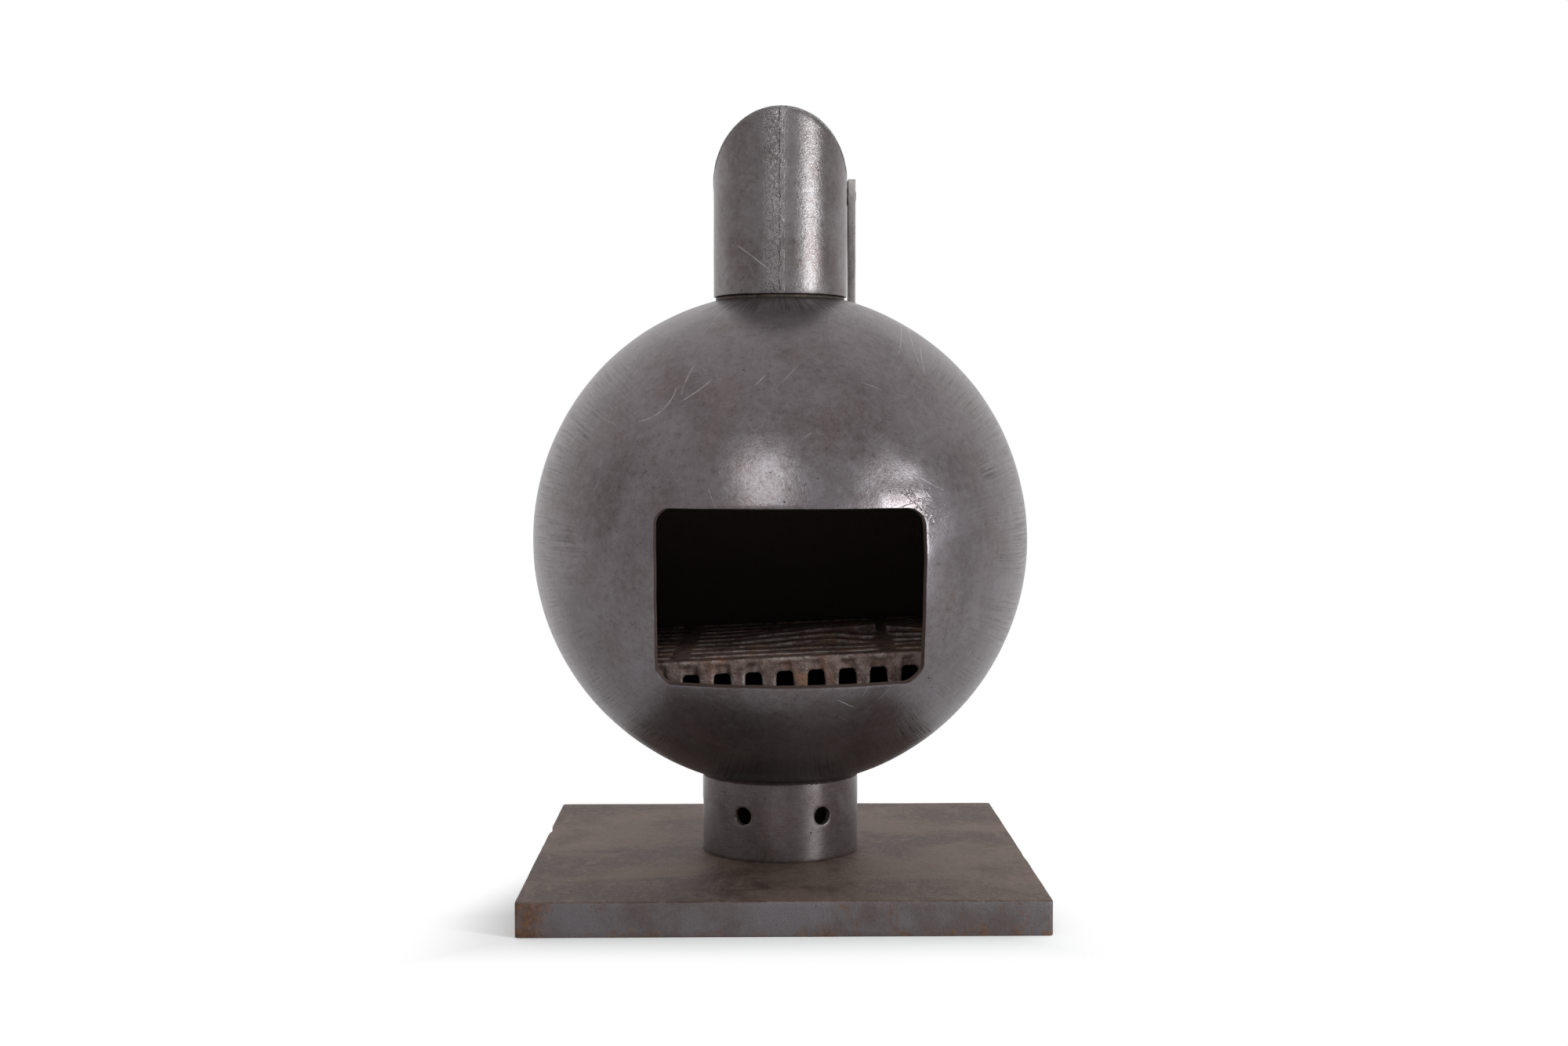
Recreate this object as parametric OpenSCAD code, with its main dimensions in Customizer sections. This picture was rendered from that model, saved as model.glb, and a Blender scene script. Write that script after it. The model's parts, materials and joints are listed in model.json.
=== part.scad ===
// Spherical fireplace: a welded steel sphere with an open mouth, carried by a short tube
// on a thick square slab, with a mitred flue elbow, a lever damper and a loose cast grate.
// Millimetres, +Z up. The origin is on the floor under the middle of the slab, and the
// mouth faces -Y.

/* [Base slab] */
// Side of the square slab
slab_side = 600; // [540:5:680]
// Thickness of the slab
slab_thick = 40; // [25:1:60]
// Rounding of the slab's upright corners
slab_corner_r = 8; // [3:1:25]
// Rounding of the flame-cut top and bottom edges
slab_edge_r = 1.5; // [0.5:0.5:4]

/* [Pedestal] */
// Outer diameter of the pedestal tube
pedestal_od = 193.7; // [160:0.1:230]
// Wall of the pedestal tube
pedestal_wall = 8; // [5:0.5:10]
// Height of the pedestal's outer face, from the slab to the sphere
pedestal_rise = 96.7; // [80:0.1:140]
// Diameter of the air holes round the pedestal
air_hole_d = 22; // [12:1:30]
// Number of air holes
air_hole_count = 6; // [4:1:8]
// Height of the air holes above the slab
air_hole_rise = 54.5; // [35:0.5:60]
// Turn of the ring of air holes, away from even about the front, in degrees
air_hole_turn = 1.1; // [-10:0.1:10]
// Leg of the fillet weld inside the foot of the pedestal
foot_weld_leg = 6; // [3:0.5:8]
// Leg of the fillet weld between the pedestal and the sphere
neck_weld_leg = 4; // [2:0.5:6]

/* [Sphere] */
// Outer diameter of the sphere
sphere_od = 614; // [580:1:660]
// Wall of the sphere
sphere_wall = 6; // [4:0.5:10]
// Width of the ground weld that joins the two hemispheres
seam_weld_w = 6; // [3:0.5:10]
// Diameter of the hole at the bottom of the sphere, which lets air in under the grate
inlet_hole_d = 80; // [50:1:120]

/* [Mouth] */
// Width of the mouth
mouth_w = 307; // [240:1:330]
// Height of the mouth
mouth_h = 203; // [160:1:230]
// Middle of the mouth, below the middle of the sphere
mouth_drop = 53; // [45:0.5:65]
// Middle of the mouth, to the right of the middle of the sphere
mouth_shift = 7.5; // [-10:0.5:10]
// Rounding of the mouth's corners
mouth_corner_r = 18; // [8:1:30]

/* [Flue collar] */
// Radial gap between the collar that stands on the sphere and the bore of the flue pipe
collar_gap = 1; // [0.2:0.1:2]
// Wall of the collar
collar_wall = 4; // [3:0.5:8]
// Height of the collar above the lower end of the flue pipe
collar_rise = 45; // [25:1:60]
// How far the weld ring at the collar's foot reaches under the wall of the flue pipe
seat_weld_lap = 2; // [1:0.1:3]

/* [Flue elbow] */
// Outer diameter of the flue pipe
flue_od = 165.1; // [150:0.1:180]
// Wall of the flue pipe
flue_wall = 5; // [3.5:0.1:8]
// Gap between the sphere and the lower end of the flue pipe, at the pipe's outer face
flue_gap = 4.6; // [3:0.1:8]
// Height of the axis of the level leg above the top of the sphere
flue_axis_rise = 133.7; // [125:0.1:180]
// Width of the ground weld at the mitre
mitre_weld_w = 5; // [3:0.5:8]
// Width of the pipe's own lengthwise weld seam
pipe_seam_w = 6; // [3:0.5:8]
// How far the lengthwise seam stands proud of the pipe
pipe_seam_proud = 0.5; // [0.2:0.1:1.5]

/* [Outlet spigot] */
// Length of the spigot that stands out of the rear end of the flue
spigot_out = 50; // [30:1:70]
// Length of the spigot inside the flue
spigot_in = 38; // [20:1:50]
// Wall of the spigot where it stands free
spigot_wall = 3; // [2:0.5:5]
// Radial gap between the spigot and the bore that it is welded into
spigot_gap = 0.1; // [0.05:0.05:0.3]
// Depth of the chamfer in the end of the flue, which the spigot's weld fills flush
spigot_weld_leg = 3; // [2:0.5:3]

/* [Damper] */
// Distance of the spindle behind the inner corner of the mitre
damper_set_back = 47.5; // [42:0.5:70]
// Gap between the edge of the damper plate and the bore of the flue
plate_gap = 4; // [3:0.5:8]
// Thickness of the damper plate
plate_thick = 3; // [2:0.5:5]
// Free length of flue between the open plate and the spigot
plate_end_gap = 8.5; // [4:0.5:20]
// Diameter of the spindle
spindle_d = 12; // [10:0.5:16]
// Radial running clearance of the spindle in its bushes
spindle_gap = 0.08; // [0.05:0.01:0.1]
// Depth of the flat on the spindle that carries the plate
spindle_flat = 3; // [2:0.5:4]
// Outer diameter of the two bushes
bush_od = 22; // [20:1:28]
// How far the right bush stands out of the flue
bush_out_right = 5.65; // [5:0.05:15]
// How far the left, closed bush stands out of the flue
bush_out_left = 1.6; // [1:0.1:6]
// Thickness of the closed end of the left bush
bush_end_wall = 2; // [1.5:0.1:3]
// Outer diameter of the washer between the right bush and the lever
washer_od = 24; // [20:1:30]
// Thickness of that washer
washer_thick = 1.5; // [1:0.1:3]
// Free play on each side of that washer
washer_play = 0.15; // [0.1:0.05:0.3]

/* [Damper lever] */
// Thickness of the flat bar
lever_thick = 10; // [5:0.5:12]
// Width of the flat bar
lever_w = 30; // [25:1:40]
// Length of the bar above the spindle
lever_top = 21; // [15:0.5:30]
// Gap between the lower end of the bar and the sphere
lever_foot_gap = 15; // [8:0.5:25]
// Rounding of the bar's corners
lever_corner_r = 2; // [1:0.5:5]
// Radius of the plug weld that holds the bar on the spindle
lever_weld_r = 8; // [7.6:0.1:12]
// Depth of that plug weld
lever_weld_deep = 2; // [1:0.5:4]

/* [Plate bolts] */
// Thread diameter of the two bolts that clamp the plate to the spindle
bolt_d = 5; // [4:0.5:6]
// Width across flats of the bolt heads and nuts
bolt_flats = 8; // [7:0.5:10]
// Height of a bolt head
bolt_head_h = 3.5; // [2.5:0.1:5]
// Height of a nut
nut_h = 4; // [3:0.1:5]
// Distance between the two bolts
bolt_span = 70; // [50:1:100]
// Bolt length past the nut
bolt_tail = 2; // [1:0.5:4]
// Radial gap round the bolts
bolt_gap = 0.25; // [0.1:0.05:0.5]

/* [Grate] */
// Number of teeth along the front and the rear edge
tooth_count = 10; // [8:1:10]
// Distance between the teeth
tooth_pitch = 36.5; // [33:0.1:37]
// Width of a tooth at its root
tooth_root_w = 18.5; // [14:0.5:20]
// Width of a tooth at its foot
tooth_foot_w = 15; // [10:0.5:16]
// Thickness of a tooth, front to rear
tooth_thick = 12; // [8:0.5:16]
// How far the teeth and the top lip stand proud of the panels between the teeth
panel_sink = 3; // [1.5:0.5:5]
// Height of the lip above those panels
lip_h = 5; // [3:0.5:8]
// Thickness of the grate's plate
grate_thick = 17; // [14:0.5:20]
// Length of the teeth below the plate
tooth_drop = 21.9; // [10:0.1:26]
// Top of the grate, below the middle of the sphere
grate_top_drop = 123.9; // [115:0.1:140]
// Plain rim at the ends of the grate, outside the outer teeth
grate_side_rim = 6; // [3:0.5:9]
// Plain rim along the front and rear edges
grate_rim = 22; // [18:1:30]
// Width of the slots, at the top
slot_w = 13; // [8:0.5:15]
// Width of the slots, at the underside
slot_foot_w = 20; // [16:0.5:22]
// Wanted distance between the slots
slot_pitch_wanted = 41; // [36:0.5:46]
// Width of the left and the right column of slots
slot_side_w = 42; // [30:1:50]
// Width of the plain webs between the columns
slot_web_w = 20; // [14:1:24]
// Gap between the feet of the grate and the inside of the sphere
grate_gap = 0.3; // [0.2:0.05:0.6]
// Tilt of the grate, right side up, in degrees
grate_roll = 2.7; // [0:0.1:4]
// Tilt of the grate, rear side up, in degrees
grate_pitch = 1.5; // [0:0.1:3]
// Turn of the grate on its seat, front to the left, in degrees
grate_turn = 1.5; // [0:0.1:4]

/* [Hidden] */

$fn = 96;
// Overrun of every cut past the face that it goes through
over = 1;
// Colours
raw_steel = [0.47, 0.44, 0.44];
ground_steel = [0.55, 0.52, 0.51];
pipe_steel = [0.52, 0.49, 0.49];
slab_steel = [0.40, 0.37, 0.36];
weld_steel = [0.36, 0.32, 0.30];
bright_steel = [0.60, 0.59, 0.58];
cast_iron = [0.33, 0.27, 0.25];

sphere_r = sphere_od / 2;
sphere_in_r = sphere_r - sphere_wall;
pedestal_r = pedestal_od / 2;
pedestal_in_r = pedestal_r - pedestal_wall;
sphere_z = slab_thick + pedestal_rise + sphere_height(pedestal_r);

flue_r = flue_od / 2;
flue_in_r = flue_r - flue_wall;
collar_r = flue_in_r - collar_gap;
collar_in_r = collar_r - collar_wall;
flue_foot_z = sphere_z + sphere_height(flue_r) + flue_gap;
flue_z = sphere_z + sphere_r + flue_axis_rise;

plate_r = flue_in_r - plate_gap;
damper_y = flue_r + damper_set_back;
spigot_y = damper_y + plate_r + plate_end_gap;
leg_end_y = spigot_y + spigot_in;
spigot_r = flue_in_r - spigot_gap;
// Inner end of both bushes, just inside the bore of the flue
bush_in_x = flue_in_r - plate_gap / 3;
bush_right_x = flue_r + bush_out_right;
bush_left_x = flue_r + bush_out_left;
bush_bore_r = spindle_d / 2 + spindle_gap;
washer_x = bush_right_x + washer_play;
lever_x = washer_x + washer_thick + washer_play;
lever_out_x = lever_x + lever_thick;
// Height of the sphere under the front lower corner of the lever
lever_ground_z = sphere_z + sphere_height(norm([lever_out_x, damper_y - lever_w / 2]));
lever_drop = flue_z - lever_ground_z - lever_foot_gap;
// The plate lies on the flat of the spindle, and the nuts clamp the spindle's underside
plate_low_z = flue_z + spindle_d / 2 - spindle_flat;
nut_top_z = flue_z - spindle_d / 2;

grate_top = -grate_top_drop;
grate_seat = grate_top - grate_thick - tooth_drop;
tooth_span = (tooth_count - 1) * tooth_pitch;
grate_w = tooth_span + tooth_root_w + 2 * grate_side_rim;
foot_reach = norm([grate_seat, (tooth_span + tooth_foot_w) / 2]);
// Half the depth at which the outer feet meet the inside of the sphere
grate_half = leg_of(sphere_in_r - grate_gap, foot_reach);
slot_run = 2 * (grate_half - grate_rim) - slot_foot_w;
slot_count = round(slot_run / slot_pitch_wanted) + 1;
slot_pitch = slot_run / (slot_count - 1);
slot_side_x = grate_w / 2 - grate_side_rim - slot_side_w;
slot_middle_w = 2 * (slot_side_x - slot_web_w);

// Length of the other leg of a right triangle
function leg_of(long_side, leg) = sqrt(max(0, long_side * long_side - leg * leg));
// Height of the sphere's outer face above its middle, at a radius from its upright axis
function sphere_height(radius) = leg_of(sphere_r, radius);

module tube(r_out, r_in, z_low, z_high) {
    translate([0, 0, z_low])
        difference() {
            cylinder(r = r_out, h = z_high - z_low);
            translate([0, 0, -over])
                cylinder(r = r_in, h = z_high - z_low + 2 * over);
        }
}

module sphere_space(radius) {
    translate([0, 0, sphere_z])
        sphere(r = radius, $fn = 180);
}

// Flat shape with round corners
module round_rect(w, h, r) {
    translate([-w / 2 + r, -h / 2])
        square([w - 2 * r, h]);
    translate([-w / 2, -h / 2 + r])
        square([w, h - 2 * r]);
    for (x = [-w / 2 + r, w / 2 - r], y = [-h / 2 + r, h / 2 - r])
        translate([x, y])
            circle(r = r);
}

// All space on the far side of the mitre plane, moved along its normal
module past_mitre(shift) {
    reach = 2 * (leg_end_y + spigot_out);
    translate([0, 0, flue_z])
        rotate([-45, 0, 0])
            translate([-reach / 2, -reach / 2, shift])
                cube(reach);
}

module along_flue(y_low) {
    translate([0, y_low, flue_z])
        rotate([-90, 0, 0])
            children();
}

module along_spindle(x_low) {
    translate([x_low, damper_y, flue_z])
        rotate([0, 90, 0])
            children();
}

module base_slab() {
    color(slab_steel)
        union() {
            translate([0, 0, slab_edge_r])
                linear_extrude(height = slab_thick - 2 * slab_edge_r)
                    round_rect(slab_side, slab_side, slab_corner_r);
            linear_extrude(height = slab_thick)
                round_rect(slab_side - 2 * slab_edge_r, slab_side - 2 * slab_edge_r,
                    slab_corner_r - slab_edge_r);
        }
}

module pedestal_tube() {
    color(raw_steel)
        difference() {
            tube(pedestal_r, pedestal_in_r, slab_thick, slab_thick + pedestal_rise + over);
            sphere_space(sphere_r);
            for (i = [0 : air_hole_count - 1])
                translate([0, 0, slab_thick + air_hole_rise])
                    rotate([90, 0, (i + 0.5) * 360 / air_hole_count + air_hole_turn])
                        translate([0, 0, pedestal_in_r / 2])
                            cylinder(d = air_hole_d, h = pedestal_r);
        }
}

module pedestal_foot_weld() {
    color(weld_steel)
        translate([0, 0, slab_thick])
            rotate_extrude()
                polygon([
                    [pedestal_in_r, 0],
                    [pedestal_in_r, foot_weld_leg],
                    [pedestal_in_r - foot_weld_leg, 0]
                ]);
}

module pedestal_neck_weld() {
    outer_r = pedestal_r + neck_weld_leg;
    outer_z = sphere_z - sphere_height(outer_r);
    color(weld_steel)
        difference() {
            rotate_extrude()
                polygon([
                    [pedestal_r, slab_thick + pedestal_rise - neck_weld_leg],
                    [outer_r, outer_z],
                    [outer_r, outer_z + over],
                    [pedestal_r, outer_z + over]
                ]);
            sphere_space(sphere_r);
        }
}

// The wall of the sphere with its hole for air below and its hole for smoke above
module sphere_wall_shape() {
    difference() {
        sphere_space(sphere_r);
        sphere_space(sphere_in_r);
        cylinder(d = inlet_hole_d, h = sphere_z);
        translate([0, 0, sphere_z])
            cylinder(r = collar_in_r, h = sphere_r + over);
    }
}

// Space between two upright planes across Y, wider than the sphere
module y_zone(y_low, y_high) {
    translate([-sphere_od, y_low, 0])
        cube([2 * sphere_od, y_high - y_low, 2 * sphere_od]);
}

module mouth_cut() {
    translate([mouth_shift, -sphere_in_r / 2, sphere_z - mouth_drop])
        rotate([90, 0, 0])
            linear_extrude(height = sphere_r)
                round_rect(mouth_w, mouth_h, mouth_corner_r);
}

module front_hemisphere() {
    color(raw_steel)
        difference() {
            sphere_wall_shape();
            y_zone(-seam_weld_w / 2, sphere_od);
            mouth_cut();
        }
}

module rear_hemisphere() {
    color(raw_steel)
        difference() {
            sphere_wall_shape();
            y_zone(-sphere_od, seam_weld_w / 2);
        }
}

module sphere_seam_weld() {
    color(ground_steel)
        intersection() {
            sphere_wall_shape();
            y_zone(-seam_weld_w / 2, seam_weld_w / 2);
        }
}

module flue_collar() {
    color(weld_steel)
        difference() {
            tube(collar_r, collar_in_r, sphere_z + sphere_in_r / 2, flue_foot_z + collar_rise);
            sphere_space(sphere_r);
        }
}

module collar_seat_weld() {
    color(weld_steel)
        difference() {
            tube(flue_in_r + seat_weld_lap, collar_r, sphere_z + sphere_in_r / 2, flue_foot_z);
            sphere_space(sphere_r);
        }
}

// The upright leg of the elbow up to a plane beside the mitre, between two radii
module riser_wall(r_out, r_in, shift) {
    difference() {
        tube(r_out, r_in, flue_foot_z, flue_z + flue_r + over);
        past_mitre(shift);
    }
}

// The level leg of the elbow from a plane beside the mitre, between two radii
module leg_wall(r_out, r_in, shift) {
    intersection() {
        along_flue(-flue_r - over)
            tube(r_out, r_in, 0, leg_end_y + flue_r + over);
        past_mitre(shift);
    }
}

// Space round the lengthwise seam on the front of the riser
module riser_seam_zone() {
    translate([-pipe_seam_w / 2, -flue_od, 0])
        cube([pipe_seam_w, flue_od, flue_z + flue_od]);
}

// Space round the lengthwise seam under the level leg
module leg_seam_zone() {
    translate([-pipe_seam_w / 2, -flue_od, 0])
        cube([pipe_seam_w, leg_end_y + 2 * flue_od, flue_z]);
}

module flue_riser() {
    color(pipe_steel)
        difference() {
            riser_wall(flue_r, flue_in_r, -mitre_weld_w / 2);
            riser_seam_zone();
        }
}

module riser_seam_weld() {
    color(ground_steel)
        intersection() {
            riser_wall(flue_r + pipe_seam_proud, flue_in_r, -mitre_weld_w / 2);
            riser_seam_zone();
        }
}

module flue_level_leg() {
    color(pipe_steel)
        difference() {
            leg_wall(flue_r, flue_in_r, mitre_weld_w / 2);
            leg_seam_zone();
            along_spindle(-flue_r - over)
                cylinder(d = bush_od, h = flue_od + 2 * over);
            spigot_weld_shape(over);
        }
}

module leg_seam_weld() {
    color(ground_steel)
        difference() {
            intersection() {
                leg_wall(flue_r + pipe_seam_proud, flue_in_r, mitre_weld_w / 2);
                leg_seam_zone();
            }
            spigot_weld_shape(over);
        }
}

module mitre_weld() {
    color(ground_steel)
        union() {
            difference() {
                riser_wall(flue_r, flue_in_r, 0);
                riser_wall(flue_r + over, flue_in_r - over, -mitre_weld_w / 2);
            }
            difference() {
                leg_wall(flue_r, flue_in_r, 0);
                past_mitre(mitre_weld_w / 2);
            }
        }
}

// A tube of the collar's size with a thicker end inside the flue, so that the next length
// of pipe slips over it as the riser slips over the collar
module outlet_spigot() {
    bore_r = collar_r - spigot_wall;
    color(pipe_steel)
        along_flue(spigot_y)
            union() {
                tube(spigot_r, bore_r, 0, spigot_in);
                tube(collar_r, bore_r, spigot_in, spigot_in + spigot_out);
            }
}

// The ring that fills the chamfer in the end of the flue, down to a radius below the spigot's
module spigot_weld_shape(below) {
    along_flue(leg_end_y)
        rotate_extrude()
            polygon([
                [spigot_r - below, -spigot_weld_leg],
                [flue_in_r, -spigot_weld_leg],
                [flue_in_r + spigot_weld_leg, 0],
                [flue_in_r + spigot_weld_leg, below],
                [spigot_r - below, below]
            ]);
}

module spigot_weld() {
    color(weld_steel)
        spigot_weld_shape(0);
}

module damper_bush_right() {
    color(weld_steel)
        along_spindle(bush_in_x)
            tube(bush_od / 2, bush_bore_r, 0, bush_right_x - bush_in_x);
}

module damper_bush_left() {
    bush_len = bush_left_x - bush_in_x;
    color(weld_steel)
        along_spindle(-bush_left_x)
            difference() {
                cylinder(d = bush_od, h = bush_len);
                translate([0, 0, bush_end_wall])
                    cylinder(r = bush_bore_r, h = bush_len);
            }
}

// The two bolt places along the spindle
module at_bolts() {
    for (x = [-bolt_span / 2, bolt_span / 2])
        translate([x, damper_y, 0])
            children();
}

module damper_plate() {
    color(weld_steel)
        difference() {
            translate([0, damper_y, plate_low_z])
                cylinder(r = plate_r, h = plate_thick);
            at_bolts()
                translate([0, 0, plate_low_z - over])
                    cylinder(r = bolt_d / 2 + bolt_gap, h = plate_thick + 2 * over);
        }
}

module damper_spindle() {
    spindle_x = -bush_left_x + bush_end_wall + washer_play;
    spindle_end_x = lever_out_x - lever_weld_deep;
    color(bright_steel)
        difference() {
            along_spindle(spindle_x)
                cylinder(d = spindle_d, h = spindle_end_x - spindle_x);
            translate([-plate_r - plate_gap / 6, damper_y - spindle_d, plate_low_z])
                cube([2 * plate_r + plate_gap / 3, 2 * spindle_d, spindle_d]);
            at_bolts()
                translate([0, 0, flue_z - spindle_d])
                    cylinder(r = bolt_d / 2 + bolt_gap, h = 2 * spindle_d);
        }
}

module damper_lever() {
    color(raw_steel)
        difference() {
            translate([lever_x, damper_y, flue_z + (lever_top - lever_drop) / 2])
                rotate([90, 0, 90])
                    linear_extrude(height = lever_thick)
                        round_rect(lever_w, lever_top + lever_drop, lever_corner_r);
            along_spindle(lever_x - over)
                cylinder(d = spindle_d, h = lever_thick + 2 * over);
            along_spindle(lever_out_x - lever_weld_deep)
                cylinder(r = lever_weld_r, h = lever_weld_deep + over);
        }
}

module lever_plug_weld() {
    color(weld_steel)
        along_spindle(lever_out_x - lever_weld_deep)
            cylinder(r = lever_weld_r, h = lever_weld_deep);
}

module lever_washer() {
    color(bright_steel)
        along_spindle(washer_x)
            tube(washer_od / 2, bush_bore_r, 0, washer_thick);
}

module hexagon_bar(flats, h) {
    cylinder(d = flats / cos(30), h = h, $fn = 6);
}

module plate_bolts() {
    shank = plate_low_z + plate_thick - nut_top_z + nut_h + bolt_tail;
    color(bright_steel)
        at_bolts()
            translate([0, 0, plate_low_z + plate_thick]) {
                hexagon_bar(bolt_flats, bolt_head_h);
                translate([0, 0, -shank])
                    cylinder(d = bolt_d, h = shank);
            }
}

module plate_nuts() {
    color(bright_steel)
        at_bolts()
            translate([0, 0, nut_top_z - nut_h])
                difference() {
                    hexagon_bar(bolt_flats, nut_h);
                    translate([0, 0, -over])
                        cylinder(d = bolt_d, h = nut_h + 2 * over);
                }
}

// One slot through the plate, running along X, narrow at the top
module slot_cut(x_low, w, y) {
    translate([x_low, y, grate_top])
        rotate([90, 0, 90])
            linear_extrude(height = w)
                polygon([
                    [-slot_w / 2, over],
                    [slot_w / 2, over],
                    [slot_w / 2, 0],
                    [slot_foot_w / 2, -grate_thick - over],
                    [-slot_foot_w / 2, -grate_thick - over],
                    [-slot_w / 2, 0]
                ]);
}

// One row of teeth and the lip above it, along the front edge
module toothed_edge() {
    translate([-grate_w / 2, -grate_half, grate_top - lip_h])
        cube([grate_w, panel_sink, lip_h]);
    for (i = [0 : tooth_count - 1])
        translate([i * tooth_pitch - tooth_span / 2, -grate_half + tooth_thick, grate_top])
            rotate([90, 0, 0])
                linear_extrude(height = tooth_thick)
                    polygon([
                        [-tooth_root_w / 2, -lip_h],
                        [-tooth_root_w / 2, -grate_thick],
                        [-tooth_foot_w / 2, -grate_thick - tooth_drop],
                        [tooth_foot_w / 2, -grate_thick - tooth_drop],
                        [tooth_root_w / 2, -grate_thick],
                        [tooth_root_w / 2, -lip_h]
                    ]);
}

module grate_plate() {
    plate_half = grate_half - panel_sink;
    difference() {
        translate([-grate_w / 2, -plate_half, grate_top - grate_thick])
            cube([grate_w, 2 * plate_half, grate_thick]);
        for (i = [0 : slot_count - 1]) {
            y = i * slot_pitch - slot_run / 2;
            slot_cut(-slot_middle_w / 2, slot_middle_w, y);
            slot_cut(slot_side_x, slot_side_w, y);
            slot_cut(-slot_side_x - slot_side_w, slot_side_w, y);
        }
    }
}

module fire_grate() {
    color(cast_iron)
        translate([0, 0, sphere_z])
            rotate([grate_pitch, -grate_roll, -grate_turn])
                union() {
                    grate_plate();
                    toothed_edge();
                    rotate([0, 0, 180])
                        toothed_edge();
                }
}

base_slab();
pedestal_tube();
pedestal_foot_weld();
pedestal_neck_weld();
front_hemisphere();
rear_hemisphere();
sphere_seam_weld();
flue_collar();
collar_seat_weld();
flue_riser();
flue_level_leg();
mitre_weld();
riser_seam_weld();
leg_seam_weld();
outlet_spigot();
spigot_weld();
damper_bush_right();
damper_bush_left();
damper_plate();
damper_spindle();
damper_lever();
lever_plug_weld();
lever_washer();
plate_bolts();
plate_nuts();
fire_grate();
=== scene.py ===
import json
from math import asin, atan2, ceil, cos, exp, hypot, pi, radians, sin, sqrt, tau

import bmesh
import bpy
from mathutils import Euler, Matrix, Vector, noise


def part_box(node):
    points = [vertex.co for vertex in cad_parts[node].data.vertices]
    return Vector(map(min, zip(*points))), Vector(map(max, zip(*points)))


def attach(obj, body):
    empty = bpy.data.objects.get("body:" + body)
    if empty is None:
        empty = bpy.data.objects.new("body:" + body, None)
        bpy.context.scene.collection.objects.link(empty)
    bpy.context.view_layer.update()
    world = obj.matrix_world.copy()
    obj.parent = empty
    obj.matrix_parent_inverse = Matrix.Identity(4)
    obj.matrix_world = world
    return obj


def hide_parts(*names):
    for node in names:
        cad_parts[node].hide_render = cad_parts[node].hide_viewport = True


# Looks of a spherical steel fireplace. Metres, +Z up, and the mouth faces -Y.
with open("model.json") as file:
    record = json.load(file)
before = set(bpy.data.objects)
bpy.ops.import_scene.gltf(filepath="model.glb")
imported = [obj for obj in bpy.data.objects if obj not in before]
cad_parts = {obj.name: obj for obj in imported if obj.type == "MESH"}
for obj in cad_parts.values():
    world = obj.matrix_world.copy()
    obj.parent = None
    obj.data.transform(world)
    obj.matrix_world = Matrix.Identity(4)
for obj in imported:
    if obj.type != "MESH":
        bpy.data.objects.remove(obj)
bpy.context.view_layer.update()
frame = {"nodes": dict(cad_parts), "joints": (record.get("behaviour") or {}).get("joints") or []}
print("frame loaded:", len(frame["nodes"]), "nodes")

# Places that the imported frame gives
slabLow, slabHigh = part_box("base_slab")
pedestalLow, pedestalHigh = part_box("pedestal_tube")
pedestalRadius = pedestalHigh.x
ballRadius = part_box("sphere_seam_weld")[1].x
ballCentre = Vector((0, 0, pedestalHigh.z + sqrt(ballRadius ** 2 - pedestalRadius ** 2)))
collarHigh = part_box("flue_collar")[1]
riserLow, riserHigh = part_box("flue_riser")
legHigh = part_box("flue_level_leg")[1]
flueRadius = riserHigh.x
damperJoint = next(joint for joint in frame["joints"] if joint["name"] == "damper_turn")
spindlePlace = Vector(damperJoint["pos_m"])
flueHeight = spindlePlace.z
mitrePlace = Vector((0, 0, flueHeight))


# Camera at the photograph's place
cameraSetup = {
    "lens": 46.3,
    "place": (-0.0405, -2.5192, 0.5578),
    "turn": (radians(87.5), 0, radians(-1.03)),
}
camera = bpy.data.objects.new("camera", bpy.data.cameras.new("camera"))
camera.data.lens = cameraSetup["lens"]
camera.data.sensor_width = 36
camera.location = cameraSetup["place"]
camera.rotation_euler = cameraSetup["turn"]
bpy.context.scene.collection.objects.link(camera)
bpy.context.scene.camera = camera
bpy.context.scene.view_settings.view_transform = "Standard"


# Shader building
def operator(operation, swapped=False):
    def work(self, other):
        inputs = {0: other, 1: self} if swapped else {0: self, 1: other}
        return self.finish.node("ShaderNodeMath", {"operation": operation}, inputs)
    return work


class Wire:
    # A value inside a finish, which can be worked with like a number
    def __init__(self, finish, socket):
        self.finish = finish
        self.socket = socket

    __add__, __radd__ = operator("ADD"), operator("ADD", True)
    __sub__, __rsub__ = operator("SUBTRACT"), operator("SUBTRACT", True)
    __mul__, __rmul__ = operator("MULTIPLY"), operator("MULTIPLY", True)
    __truediv__, high, angle = operator("DIVIDE"), operator("MAXIMUM"), operator("ARCTAN2")

    def __neg__(self):
        return 0.0 - self

    def __abs__(self):
        return self.finish.node("ShaderNodeMath", {"operation": "ABSOLUTE"}, {0: self})

    def root(self):
        return self.finish.node("ShaderNodeMath", {"operation": "SQRT"}, {0: self})


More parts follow.
